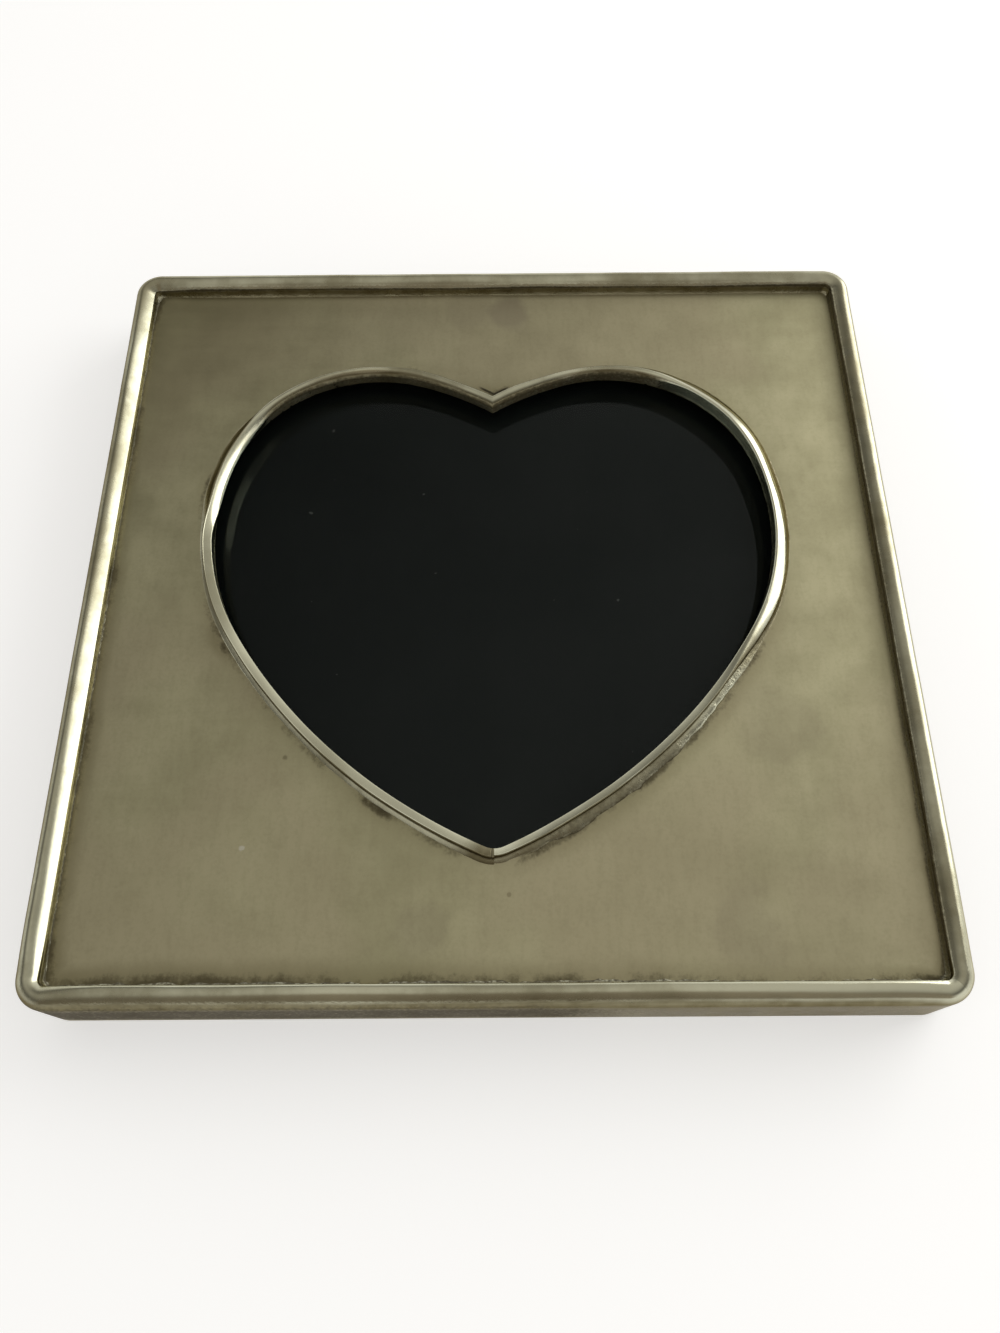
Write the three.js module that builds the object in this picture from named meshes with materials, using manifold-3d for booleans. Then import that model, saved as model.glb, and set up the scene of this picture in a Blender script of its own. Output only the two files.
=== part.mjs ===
// Photo frame with a heart opening: soldered pewter, glazed, with a folding easel leg on its back.
// It lies on its back, face up. Millimetres, +Z out of the face, +Y towards the heart's two lobes,
// and the back edge of the rails at z = 0.
import * as THREE from "three";
import { mergeVertices } from "three/addons/utils/BufferGeometryUtils.js";
import Module from "manifold-3d";

const wasm = await Module();
wasm.setup();

// Outside of the frame
const FRAME_WIDTH = 150;
const FRAME_HEIGHT = 150;
const CORNER_RADIUS = 5;

// Rails: an outer wall, a raised rim and a ledge, each measured from the outer face
const WALL = 2;
const RIM_WIDTH = 3.6;
const RIM_STAND = 3.4;
const RIM_SHOULDER = 1.4;
const RIM_INNER_EDGE = 0.4;
const RIM_SLOPE_DEG = 22;
const LEDGE_REACH = 8;

// Heart opening: half of its outline is five arcs, each tangent to the next
const LOBE_CENTRE = new THREE.Vector2(23.2, 20.3);
const NOTCH_FLANK_RADIUS = 60;
const LOBE_RADIUS = 29.3;
const SIDE_RADIUS = 47;
const LOWER_FLANK_RADIUS = 100;
const TIP_RADIUS = 4;
const LOBE_START_DEG = 108;
const SIDE_START_DEG = 18;
const LOWER_FLANK_START_DEG = -31;

// Bezel that lines the opening
const BEZEL_WIDTH = 1.8;
const BEZEL_STAND = 1.8;
const BEZEL_EDGE = 0.7;

// Layers, from the face to the back
const PLATE_THICKNESS = 1.6;
const GLASS_THICKNESS = 2;
const CARD_THICKNESS = 0.5;
const BOARD_THICKNESS = 2.4;
const LEG_THICKNESS = 2.2;
const LEAF_THICKNESS = 0.6;
const RIVET_HEAD_HEIGHT = 0.5;

// Easel leg and its hinge
const HINGE_Y = 40;
const HINGE_WIDTH = 24;
const LEAF_LENGTH = 14;
const LEAF_CORNER = 2.5;
const PIN_RADIUS = 0.8;
const PIN_PROUD = 0.5;
const OPEN_DEG = 28;
const LEG_TOP_WIDTH = 34;
const LEG_FOOT_WIDTH = 50;
const LEG_CORNER = 4;
const RIVET_SPACING = 15;
const RIVET_SETBACK = 8.5;
const RIVET_RADIUS = 1.1;
const RIVET_HEAD_RADIUS = 2.1;

// Turn buttons and their screws
const BUTTON_SPACING = 80;
const BUTTON_ARM = 10;
const BUTTON_TIP_RADIUS = 2;
const BUTTON_THICKNESS = 1.2;
const SCREW_RADIUS = 1;
const SCREW_DEPTH = 4;
const SCREW_HEAD_RADIUS = 2.2;
const SCREW_HEAD_HEIGHT = 1.2;
const SCREW_CROWN_RADIUS = 1.5;
const SLOT_WIDTH = 0.6;
const SLOT_DEPTH = 0.6;

// Clearances
const SOLDER_GAP = 0.1;
const LAYER_GAP = 0.1;
const PANE_GAP = 0.3;
const PANE_CORNER = 1;
const LEG_GAP = 0.3;
const LEG_TIP_GAP = 2;
const LEAF_GAP = 0.1;
const KNUCKLE_GAP = 0.3;
const PIN_GAP = 0.1;
const STOP_GAP = 0.1;
const RIVET_GAP = 0.1;
const BUTTON_GAP = 0.2;
const SCREW_GAP = 0.1;
const BACK_MARGIN = 0.4;

// Facets
const CORNER_STEPS = 6;
const EDGE_STEPS = 5;
const ARC_STEP_DEG = 4;
const ROUND_SIDES = 16;
const CURVE_SEGMENTS = 6;

// Heights of the layers, worked out from the back
const LEG_LEAF_BACK = BACK_MARGIN + RIVET_HEAD_HEIGHT;
const LEG_BACK = LEG_LEAF_BACK + LEAF_THICKNESS;
const LEG_FRONT = LEG_BACK + LEG_THICKNESS;
const BOARD_BACK = LEG_FRONT + LEG_GAP;
const BOARD_FRONT = BOARD_BACK + BOARD_THICKNESS;
const CARD_BACK = BOARD_FRONT + LAYER_GAP;
const GLASS_BACK = CARD_BACK + CARD_THICKNESS + LAYER_GAP;
const PLATE_BACK = GLASS_BACK + GLASS_THICKNESS + LAYER_GAP;
const PLATE_FRONT = PLATE_BACK + PLATE_THICKNESS;
const RIM_TOP = PLATE_FRONT + RIM_STAND;

// Hinge heights: the board leaf is tangent to the top of the knuckles and the leg leaf to their bottom
const BOARD_LEAF_FRONT = BOARD_BACK - LEAF_GAP;
const BOARD_LEAF_BACK = BOARD_LEAF_FRONT - LEAF_THICKNESS;
const KNUCKLE_RADIUS = (BOARD_LEAF_FRONT - LEG_LEAF_BACK) / 2;
const PIN_Z = LEG_LEAF_BACK + KNUCKLE_RADIUS;
const LEAF_SETBACK = KNUCKLE_RADIUS + KNUCKLE_GAP;

// Finishes, a new material for each piece
const finish = (color, roughness, metalness, more = {}) =>
  new THREE.MeshStandardMaterial({ color, roughness, metalness, ...more });
const pewter = () => finish(0x8f8a70, 0.38, 0.9);
const brass = () => finish(0x9c8347, 0.35, 0.9);
const clearGlass = () => finish(0xf4f8f6, 0.04, 0, { transparent: true, opacity: 0.2 });
const blackCard = () => finish(0x1a1c1b, 0.85, 0);
const flockedBoard = () => finish(0x16150f, 0.95, 0);

// A three.js geometry as a solid for cutting and joining, and back again.
function toSolid(geometry) {
  const bare = geometry.clone();
  bare.deleteAttribute("normal");
  bare.deleteAttribute("uv");
  const merged = mergeVertices(bare, 1e-4);
  return new wasm.Manifold(
    new wasm.Mesh({
      numProp: 3,
      vertProperties: merged.attributes.position.array,
      triVerts: new Uint32Array(merged.index.array),
    }),
  );
}

function toGeometry(solid) {
  const { vertProperties, triVerts } = solid.getMesh();
  const geometry = new THREE.BufferGeometry();
  geometry.setAttribute("position", new THREE.BufferAttribute(new Float32Array(vertProperties), 3));
  geometry.setIndex(new THREE.BufferAttribute(new Uint32Array(triVerts), 1));
  const faceted = geometry.toNonIndexed();
  faceted.computeVertexNormals();
  return faceted;
}

// A flat outline raised from one height to another.
function slab(shape, back, front) {
  const settings = { depth: front - back, bevelEnabled: false, curveSegments: CURVE_SEGMENTS };
  return new THREE.ExtrudeGeometry(shape, settings).translate(0, 0, back);
}

// Points of an arc, both ends included, angles in degrees.
function arcPoints(centre, radius, startDeg, endDeg, steps) {
  return Array.from({ length: steps + 1 }, (_, i) => {
    const angle = THREE.MathUtils.degToRad(startDeg + ((endDeg - startDeg) * i) / steps);
    return new THREE.Vector2(Math.cos(angle), Math.sin(angle)).multiplyScalar(radius).add(centre);
  });
}

// A closed section of (offset, height) points, listed clockwise, carried along an outline. outlineAt
// gives the outline's points at one offset, as many at each. The section itself closes the two ends.
function sweep(section, outlineAt) {
  const lines = section.map((point) => outlineAt(point.x));
  const stations = lines[0].length;
  const positions = section.flatMap((point, k) => lines[k].flatMap((p) => [p.x, p.y, point.y]));
  const at = (k, i) => (k % section.length) * stations + i;
  const index = [];
  for (let k = 0; k < section.length; k++) {
    for (let i = 0; i + 1 < stations; i++) {
      index.push(at(k, i), at(k, i + 1), at(k + 1, i + 1));
      index.push(at(k, i), at(k + 1, i + 1), at(k + 1, i));
    }
  }
  for (const [a, b, c] of THREE.ShapeUtils.triangulateShape(section, [])) {
    index.push(at(a, 0), at(c, 0), at(b, 0));
    index.push(at(a, stations - 1), at(b, stations - 1), at(c, stations - 1));
  }
  const geometry = new THREE.BufferGeometry();
  geometry.setAttribute("position", new THREE.Float32BufferAttribute(positions, 3));
  geometry.setIndex(index);
  const faceted = geometry.toNonIndexed();
  faceted.computeVertexNormals();
  return faceted;
}

function roundedRectangle(width, height, radius) {
  const x = width / 2 - radius;
  const y = height / 2 - radius;
  const shape = new THREE.Shape();
  shape.absarc(x, y, radius, 0, Math.PI / 2);
  shape.absarc(-x, y, radius, Math.PI / 2, Math.PI);
  shape.absarc(-x, -y, radius, Math.PI, 1.5 * Math.PI);
  shape.absarc(x, -y, radius, 1.5 * Math.PI, 2 * Math.PI);
  shape.closePath();
  return shape;
}

// A polygon whose corners are softened by short curves that start one radius before each corner.
function softPolygon(corners, radius) {
  const shape = new THREE.Shape();
  corners.forEach((corner, i) => {
    const before = corners[(i + corners.length - 1) % corners.length];
    const after = corners[(i + 1) % corners.length];
    const from = before.clone().sub(corner).setLength(radius).add(corner);
    const to = after.clone().sub(corner).setLength(radius).add(corner);
    if (i === 0) shape.moveTo(from.x, from.y);
    else shape.lineTo(from.x, from.y);
    shape.quadraticCurveTo(corner.x, corner.y, to.x, to.y);
  });
  shape.closePath();
  return shape;
}

function roundHole(x, y, radius) {
  const hole = new THREE.Path();
  hole.absarc(x, y, radius, 0, 2 * Math.PI);
  return hole;
}

// A turned piece on the Z axis from (radius, height) points that start and end on the axis.
function turned(points) {
  const profile = points.map(([radius, height]) => new THREE.Vector2(radius, height));
  return new THREE.LatheGeometry(profile, ROUND_SIDES).rotateX(Math.PI / 2);
}

// A round bar along X.
function barAlongX(radius, fromX, toX, y, z) {
  const bar = new THREE.CylinderGeometry(radius, radius, toX - fromX, ROUND_SIDES);
  return bar.rotateZ(Math.PI / 2).translate((fromX + toX) / 2, y, z);
}

// Heart outline

const direction = (deg) =>
  new THREE.Vector2(Math.cos(THREE.MathUtils.degToRad(deg)), Math.sin(THREE.MathUtils.degToRad(deg)));

// The centre of the arc that touches another one at an angle and has a different radius.
const tangentCentre = (centre, radius, nextRadius, deg) =>
  direction(deg).multiplyScalar(radius - nextRadius).add(centre);

const notchFlankCentre = tangentCentre(LOBE_CENTRE, LOBE_RADIUS, NOTCH_FLANK_RADIUS, LOBE_START_DEG);
const sideCentre = tangentCentre(LOBE_CENTRE, LOBE_RADIUS, SIDE_RADIUS, SIDE_START_DEG);
const lowerFlankCentre = tangentCentre(sideCentre, SIDE_RADIUS, LOWER_FLANK_RADIUS, LOWER_FLANK_START_DEG);
const tipDrop = Math.sqrt((LOWER_FLANK_RADIUS - TIP_RADIUS) ** 2 - lowerFlankCentre.x ** 2);
const tipCentre = new THREE.Vector2(0, lowerFlankCentre.y - tipDrop);
const tipStartDeg = THREE.MathUtils.radToDeg(Math.atan2(-tipDrop, -lowerFlankCentre.x));

// The right half of the outline, from the notch to the tip, moved outwards by an offset.
function heartHalf(offset) {
  const notchRadius = NOTCH_FLANK_RADIUS + offset;
  const notchDeg = THREE.MathUtils.radToDeg(Math.acos(-notchFlankCentre.x / notchRadius));
  const arcs = [
    [notchFlankCentre, NOTCH_FLANK_RADIUS, notchDeg, LOBE_START_DEG],
    [LOBE_CENTRE, LOBE_RADIUS, LOBE_START_DEG, SIDE_START_DEG],
    [sideCentre, SIDE_RADIUS, SIDE_START_DEG, LOWER_FLANK_START_DEG],
    [lowerFlankCentre, LOWER_FLANK_RADIUS, LOWER_FLANK_START_DEG, tipStartDeg],
    [tipCentre, TIP_RADIUS, tipStartDeg, -90],
  ];
  // The notch flank's end angle depends on the offset, so its steps come from the angle at no offset.
  const plainNotchDeg = THREE.MathUtils.radToDeg(Math.acos(-notchFlankCentre.x / NOTCH_FLANK_RADIUS));
  return arcs.flatMap(([centre, radius, startDeg, endDeg], i) => {
    const span = Math.abs((i === 0 ? plainNotchDeg : startDeg) - endDeg);
    const steps = Math.max(2, Math.ceil(span / ARC_STEP_DEG));
    const points = arcPoints(centre, radius + offset, startDeg, endDeg, steps);
    return i === 0 ? points : points.slice(1);
  });
}

const mirrored = (points) => points.map((p) => new THREE.Vector2(-p.x, p.y)).reverse();

function heartHole(offset) {
  const right = heartHalf(offset);
  return new THREE.Path().setFromPoints([...right, ...mirrored(right).slice(1, -1)]);
}

// Rails

// The bottom rail's outline at a distance from its outer face, from mitre to mitre.
function railOutline(length, reach, offset) {
  const x = length / 2 - CORNER_RADIUS;
  const y = CORNER_RADIUS - reach;
  const radius = CORNER_RADIUS - offset;
  return [
    ...arcPoints(new THREE.Vector2(-x, y), radius, 225, 270, CORNER_STEPS),
    ...arcPoints(new THREE.Vector2(x, y), radius, 270, 315, CORNER_STEPS),
  ];
}

// A rail that runs along X, with its outer face towards -Y. Its length is the frame's side and its reach
// is the distance from the frame's middle to the outer face. The rim's top slopes down to the inside, tangent
// to both of its roundings. Screw holes open at the back of the ledge.
function railGeometry(length, reach, screwPlaces) {
  const shoulder = new THREE.Vector2(RIM_SHOULDER, RIM_TOP - RIM_SHOULDER);
  const slope = THREE.MathUtils.degToRad(RIM_SLOPE_DEG);
  const topRun = RIM_WIDTH - RIM_INNER_EDGE - RIM_SHOULDER;
  const rise = (RIM_SHOULDER - RIM_INNER_EDGE - topRun * Math.sin(slope)) / Math.cos(slope);
  const innerEdge = new THREE.Vector2(RIM_WIDTH - RIM_INNER_EDGE, shoulder.y + rise);
  const rimFoot = (BOARD_BACK + PLATE_BACK) / 2;
  const section = [
    new THREE.Vector2(0, 0),
    ...arcPoints(shoulder, RIM_SHOULDER, 180, 90, EDGE_STEPS),
    ...arcPoints(shoulder, RIM_SHOULDER, 90 - RIM_SLOPE_DEG / 2, 90 - RIM_SLOPE_DEG, 1),
    ...arcPoints(innerEdge, RIM_INNER_EDGE, 90 - RIM_SLOPE_DEG, 0, EDGE_STEPS),
    new THREE.Vector2(RIM_WIDTH, rimFoot),
    new THREE.Vector2(WALL, rimFoot),
    new THREE.Vector2(WALL, 0),
  ];
  const band = sweep(section, (offset) => railOutline(length, reach, offset));
  const ledgeShape = new THREE.Shape([
    ...railOutline(length, reach, WALL / 2),
    new THREE.Vector2(length / 2 - LEDGE_REACH, LEDGE_REACH - reach),
    new THREE.Vector2(LEDGE_REACH - length / 2, LEDGE_REACH - reach),
  ]);
  let rail = toSolid(band).add(toSolid(slab(ledgeShape, BOARD_BACK, PLATE_BACK)));
  const holeY = (WALL + LEDGE_REACH) / 2 - reach;
  for (const place of screwPlaces) {
    const mouth = BOARD_BACK - SCREW_GAP;
    const bottom = BOARD_BACK + SCREW_DEPTH + SCREW_GAP;
    const hole = turned([
      [0, mouth],
      [SCREW_RADIUS + SCREW_GAP, mouth],
      [SCREW_RADIUS + SCREW_GAP, bottom],
      [0, bottom],
    ]);
    rail = rail.subtract(toSolid(hole.translate(place, holeY, 0)));
  }
  return toGeometry(rail);
}

// Bezel: the section's offset 0 is the inner wall of the opening.
function bezelGeometry(side) {
  const top = PLATE_FRONT + BEZEL_STAND;
  const innerEdge = new THREE.Vector2(BEZEL_EDGE, top - BEZEL_EDGE);
  const outerEdge = new THREE.Vector2(BEZEL_WIDTH - BEZEL_EDGE, top - BEZEL_EDGE);
  const section = [
    new THREE.Vector2(0, PLATE_BACK),
    ...arcPoints(innerEdge, BEZEL_EDGE, 180, 90, EDGE_STEPS),
    ...arcPoints(outerEdge, BEZEL_EDGE, 90, 0, EDGE_STEPS),
    new THREE.Vector2(BEZEL_WIDTH, PLATE_BACK),
  ];
  const halfAt = (offset) => (side > 0 ? heartHalf(offset) : mirrored(heartHalf(offset)));
  return sweep(section, halfAt);
}

// Flat layers

function frontPlateGeometry() {
  const inset = RIM_WIDTH + SOLDER_GAP;
  const shape = roundedRectangle(FRAME_WIDTH - 2 * inset, FRAME_HEIGHT - 2 * inset, CORNER_RADIUS - inset);
  shape.holes.push(heartHole(BEZEL_WIDTH + SOLDER_GAP));
  return slab(shape, PLATE_BACK, PLATE_FRONT);
}

function paneShape() {
  const inset = LEDGE_REACH + PANE_GAP;
  return roundedRectangle(FRAME_WIDTH - 2 * inset, FRAME_HEIGHT - 2 * inset, PANE_CORNER);
}

const rivetPlaces = { left: -RIVET_SPACING / 2, right: RIVET_SPACING / 2 };
const BOARD_RIVET_Y = HINGE_Y + RIVET_SETBACK;
const LEG_RIVET_Y = HINGE_Y - RIVET_SETBACK;

function rivetHoles(y) {
  return Object.values(rivetPlaces).map((x) => roundHole(x, y, RIVET_RADIUS + RIVET_GAP));
}

function boardGeometry() {
  const shape = paneShape();
  shape.holes.push(...rivetHoles(BOARD_RIVET_Y));
  return slab(shape, BOARD_BACK, BOARD_FRONT);
}

// Easel leg, folded flat. It widens from the hinge to its foot.
function legGeometry() {
  const top = HINGE_Y - LEAF_SETBACK;
  const foot = WALL + LEG_TIP_GAP - FRAME_HEIGHT / 2;
  const shape = softPolygon(
    [
      new THREE.Vector2(-LEG_FOOT_WIDTH / 2, foot),
      new THREE.Vector2(LEG_FOOT_WIDTH / 2, foot),
      new THREE.Vector2(LEG_TOP_WIDTH / 2, top),
      new THREE.Vector2(-LEG_TOP_WIDTH / 2, top),
    ],
    LEG_CORNER,
  );
  shape.holes.push(...rivetHoles(LEG_RIVET_Y));
  return slab(shape, LEG_BACK, LEG_FRONT);
}

// Hinge

const KNUCKLE_LENGTH = HINGE_WIDTH / 3;
const pinBore = () => barAlongX(PIN_RADIUS + PIN_GAP, -HINGE_WIDTH, HINGE_WIDTH, HINGE_Y, PIN_Z);
const knuckle = (fromX, toX) => toSolid(barAlongX(KNUCKLE_RADIUS, fromX, toX, HINGE_Y, PIN_Z));

// The far end of a leaf, with two soft corners. towards is +1 for the board's leaf and -1 for the leg's.
function leafShape(towards, nearPoints) {
  const x = HINGE_WIDTH / 2;
  const end = HINGE_Y + towards * LEAF_LENGTH;
  const shape = new THREE.Shape();
  shape.moveTo(nearPoints[0].x, nearPoints[0].y);
  nearPoints.slice(1).forEach((p) => shape.lineTo(p.x, p.y));
  shape.lineTo(x, end - towards * LEAF_CORNER);
  shape.quadraticCurveTo(x, end, x - LEAF_CORNER, end);
  shape.lineTo(LEAF_CORNER - x, end);
  shape.quadraticCurveTo(-x, end, -x, end - towards * LEAF_CORNER);
  shape.closePath();
  return shape;
}

// The board's leaf carries the two outer knuckles and clears the middle one.
function boardLeafGeometry() {
  const x = HINGE_WIDTH / 2;
  const middle = KNUCKLE_LENGTH / 2 + KNUCKLE_GAP / 2;
  const clear = HINGE_Y + LEAF_SETBACK;
  const shape = leafShape(1, [
    new THREE.Vector2(-x, HINGE_Y),
    new THREE.Vector2(-middle, HINGE_Y),
    new THREE.Vector2(-middle, clear),
    new THREE.Vector2(middle, clear),
    new THREE.Vector2(middle, HINGE_Y),
    new THREE.Vector2(x, HINGE_Y),
  ]);
  shape.holes.push(...rivetHoles(BOARD_RIVET_Y));
  const leaf = toSolid(slab(shape, BOARD_LEAF_BACK, BOARD_LEAF_FRONT));
  const knuckles = knuckle(-x, -middle).add(knuckle(middle, x));
  return toGeometry(leaf.add(knuckles).subtract(toSolid(pinBore())));
}

// The leg's leaf carries the middle knuckle. Its tail runs on past the pin and meets the board's leaf
// when the leg is fully open, which stops it there.
function legLeafGeometry() {
  const x = HINGE_WIDTH / 2;
  const middle = KNUCKLE_LENGTH / 2 - KNUCKLE_GAP / 2;
  const clear = HINGE_Y - LEAF_SETBACK;
  const open = THREE.MathUtils.degToRad(OPEN_DEG);
  const faceHeight = KNUCKLE_RADIUS - LEAF_THICKNESS;
  const tail = HINGE_Y + (faceHeight * (1 + Math.cos(open)) - STOP_GAP) / Math.sin(open);
  const shape = leafShape(-1, [
    new THREE.Vector2(-x, clear),
    new THREE.Vector2(-middle, clear),
    new THREE.Vector2(-middle, tail),
    new THREE.Vector2(middle, tail),
    new THREE.Vector2(middle, clear),
    new THREE.Vector2(x, clear),
  ]);
  shape.holes.push(...rivetHoles(LEG_RIVET_Y));
  const leaf = toSolid(slab(shape, LEG_LEAF_BACK, LEG_BACK));
  return toGeometry(leaf.add(knuckle(-middle, middle)).subtract(toSolid(pinBore())));
}

function pinGeometry() {
  const end = HINGE_WIDTH / 2 + PIN_PROUD;
  const crown = PIN_RADIUS / 2;
  const pin = turned([
    [0, -end],
    [crown, -end],
    [PIN_RADIUS, -end + crown],
    [PIN_RADIUS, end - crown],
    [crown, end],
    [0, end],
  ]);
  return pin.rotateY(Math.PI / 2).translate(0, HINGE_Y, PIN_Z);
}

// A rivet whose domed head sits on the back of a leaf and whose shank ends flush at a height.
function rivetGeometry(seat, flush) {
  const domeSteps = Array.from({ length: EDGE_STEPS }, (_, i) => (Math.PI / 2) * (1 - (i + 1) / EDGE_STEPS));
  const dome = domeSteps.map((a) => [
    RIVET_HEAD_RADIUS * Math.cos(a),
    seat - LAYER_GAP / 2 - (RIVET_HEAD_HEIGHT - LAYER_GAP / 2) * Math.sin(a),
  ]);
  return turned([
    [0, seat - RIVET_HEAD_HEIGHT],
    ...dome,
    [RIVET_RADIUS, seat - LAYER_GAP / 2],
    [RIVET_RADIUS, flush],
    [0, flush],
  ]);
}

// Turn buttons

const BUTTON_FRONT = BOARD_BACK - BUTTON_GAP;
const BUTTON_BACK = BUTTON_FRONT - BUTTON_THICKNESS;

// The round end turns on the screw inside the ledge's width, and the arm reaches over the board.
function buttonGeometry() {
  const round = (LEDGE_REACH - WALL) / 2 - BUTTON_GAP;
  const tangent = Math.acos((round - BUTTON_TIP_RADIUS) / BUTTON_ARM);
  const shape = new THREE.Shape();
  shape.absarc(0, 0, round, tangent, 2 * Math.PI - tangent);
  shape.absarc(BUTTON_ARM, 0, BUTTON_TIP_RADIUS, -tangent, tangent);
  shape.closePath();
  shape.holes.push(roundHole(0, 0, SCREW_RADIUS + SCREW_GAP));
  return slab(shape, BUTTON_BACK, BUTTON_FRONT);
}

function screwGeometry() {
  const seat = BUTTON_BACK - LAYER_GAP;
  const back = seat - SCREW_HEAD_HEIGHT;
  const rim = seat - SCREW_HEAD_HEIGHT / 2;
  const tip = BOARD_BACK + SCREW_DEPTH;
  const blank = turned([
    [0, back],
    [SCREW_CROWN_RADIUS, back],
    [SCREW_HEAD_RADIUS, rim],
    [SCREW_HEAD_RADIUS, seat],
    [SCREW_RADIUS, seat],
    [SCREW_RADIUS, tip - SCREW_RADIUS],
    [SCREW_RADIUS / 2, tip],
    [0, tip],
  ]);
  const slot = new THREE.BoxGeometry(4 * SCREW_HEAD_RADIUS, SLOT_WIDTH, 2 * SLOT_DEPTH);
  return toGeometry(toSolid(blank).subtract(toSolid(slot.translate(0, 0, back))));
}

// Assembly

const frame = new THREE.Group();
frame.name = "heart_photo_frame";

function place(name, geometry, material) {
  const mesh = new THREE.Mesh(geometry, material);
  mesh.name = name;
  frame.add(mesh);
  return mesh;
}

const buttonRows = { upper: BUTTON_SPACING / 2, lower: -BUTTON_SPACING / 2 };
const buttonX = FRAME_WIDTH / 2 - (WALL + LEDGE_REACH) / 2;

// The bottom rail first, then a quarter turn for each of the others.
const sideScrews = Object.values(buttonRows);
const rails = [
  ["bottom", FRAME_WIDTH, FRAME_HEIGHT / 2, []],
  ["right", FRAME_HEIGHT, FRAME_WIDTH / 2, sideScrews],
  ["top", FRAME_WIDTH, FRAME_HEIGHT / 2, []],
  ["left", FRAME_HEIGHT, FRAME_WIDTH / 2, sideScrews],
];
rails.forEach(([side, length, reach, screws], quarter) => {
  const rail = place(`rim_rail_${side}`, railGeometry(length, reach, screws), pewter());
  rail.rotation.z = (quarter * Math.PI) / 2;
});

place("front_plate", frontPlateGeometry(), pewter());
place("heart_bezel_left", bezelGeometry(-1), pewter());
place("heart_bezel_right", bezelGeometry(1), pewter());

place("glass_pane", slab(paneShape(), GLASS_BACK, GLASS_BACK + GLASS_THICKNESS), clearGlass());
place("display_card", slab(paneShape(), CARD_BACK, CARD_BACK + CARD_THICKNESS), blackCard());
place("backing_board", boardGeometry(), flockedBoard());

place("easel_leg", legGeometry(), flockedBoard());
place("hinge_board_leaf", boardLeafGeometry(), brass());
place("hinge_leg_leaf", legLeafGeometry(), brass());
place("hinge_pin", pinGeometry(), brass());
for (const [side, x] of Object.entries(rivetPlaces)) {
  const boardRivet = place(`board_rivet_${side}`, rivetGeometry(BOARD_LEAF_BACK, BOARD_FRONT), brass());
  boardRivet.position.set(x, BOARD_RIVET_Y, 0);
  const legRivet = place(`leg_rivet_${side}`, rivetGeometry(LEG_LEAF_BACK, LEG_FRONT), brass());
  legRivet.position.set(x, LEG_RIVET_Y, 0);
}

for (const [row, y] of Object.entries(buttonRows)) {
  for (const [side, turn] of Object.entries({ left: 0, right: Math.PI })) {
    const x = -buttonX * Math.cos(turn);
    const button = place(`turn_button_${row}_${side}`, buttonGeometry(), brass());
    button.position.set(x, y, 0);
    button.rotation.z = turn;
    const screw = place(`button_screw_${row}_${side}`, screwGeometry(), brass());
    screw.position.set(x, y, 0);
  }
}

export default frame;
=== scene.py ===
# Looks of the heart photo frame: soldered pewter round a heart of glass, a flocked back and an easel leg.
# Sizes and places are in millimetres and become metres where a mesh is made.
import math
from functools import reduce
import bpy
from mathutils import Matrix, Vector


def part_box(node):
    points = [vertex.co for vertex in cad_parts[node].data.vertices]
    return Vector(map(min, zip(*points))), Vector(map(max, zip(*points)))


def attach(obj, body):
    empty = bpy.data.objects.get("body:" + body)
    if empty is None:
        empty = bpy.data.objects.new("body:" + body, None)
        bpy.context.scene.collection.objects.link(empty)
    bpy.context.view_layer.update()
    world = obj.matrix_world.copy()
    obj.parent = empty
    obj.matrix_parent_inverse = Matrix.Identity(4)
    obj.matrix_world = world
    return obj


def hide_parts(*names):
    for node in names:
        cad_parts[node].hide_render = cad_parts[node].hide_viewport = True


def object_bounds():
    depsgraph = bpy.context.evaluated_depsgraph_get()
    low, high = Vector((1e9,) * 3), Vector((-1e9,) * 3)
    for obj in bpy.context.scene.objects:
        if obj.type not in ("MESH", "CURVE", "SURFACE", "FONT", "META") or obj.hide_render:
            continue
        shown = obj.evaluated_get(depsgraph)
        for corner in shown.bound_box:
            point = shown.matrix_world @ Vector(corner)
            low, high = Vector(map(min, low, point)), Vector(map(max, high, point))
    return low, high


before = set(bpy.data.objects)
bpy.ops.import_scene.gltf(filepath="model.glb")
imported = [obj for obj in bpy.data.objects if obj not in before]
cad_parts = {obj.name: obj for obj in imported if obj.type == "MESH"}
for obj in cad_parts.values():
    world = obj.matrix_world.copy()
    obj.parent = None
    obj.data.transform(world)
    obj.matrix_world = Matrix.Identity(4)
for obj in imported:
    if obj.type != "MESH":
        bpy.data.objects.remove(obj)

from types import SimpleNamespace

import bmesh
import bpy
import numpy as np
from mathutils import Matrix, Vector, noise

CAD_LOW, CAD_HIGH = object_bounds()
MM = 0.001
X, Y, Z = range(3)


def span(node, axis):
    """Lowest and highest place of a CAD node along an axis."""
    low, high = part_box(node)
    return low[axis] / MM, high[axis] / MM


# Sizes that the frame gives
HALF = CAD_HIGH.x / MM
RIM_TOP = CAD_HIGH.z / MM
PLATE_BACK, PLATE_FRONT = span("front_plate", Z)
PLATE_HALF = span("front_plate", X)[1]
BEZEL_TOP = span("heart_bezel_right", Z)[1]
GLASS_BACK, GLASS_FRONT = span("glass_pane", Z)
CARD_BACK, CARD_FRONT = span("display_card", Z)
BOARD_BACK, BOARD_FRONT = span("backing_board", Z)
PANE_HALF = span("glass_pane", X)[1]
LEG_BACK, LEG_FRONT = span("easel_leg", Z)
LEG_FOOT, LEG_TOP = span("easel_leg", Y)
LEG_LEAF_BACK = span("hinge_leg_leaf", Z)[0]
BOARD_LEAF_FRONT = span("hinge_board_leaf", Z)[1]
BUTTON_BACK, BUTTON_FRONT = span("turn_button_upper_left", Z)

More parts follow.
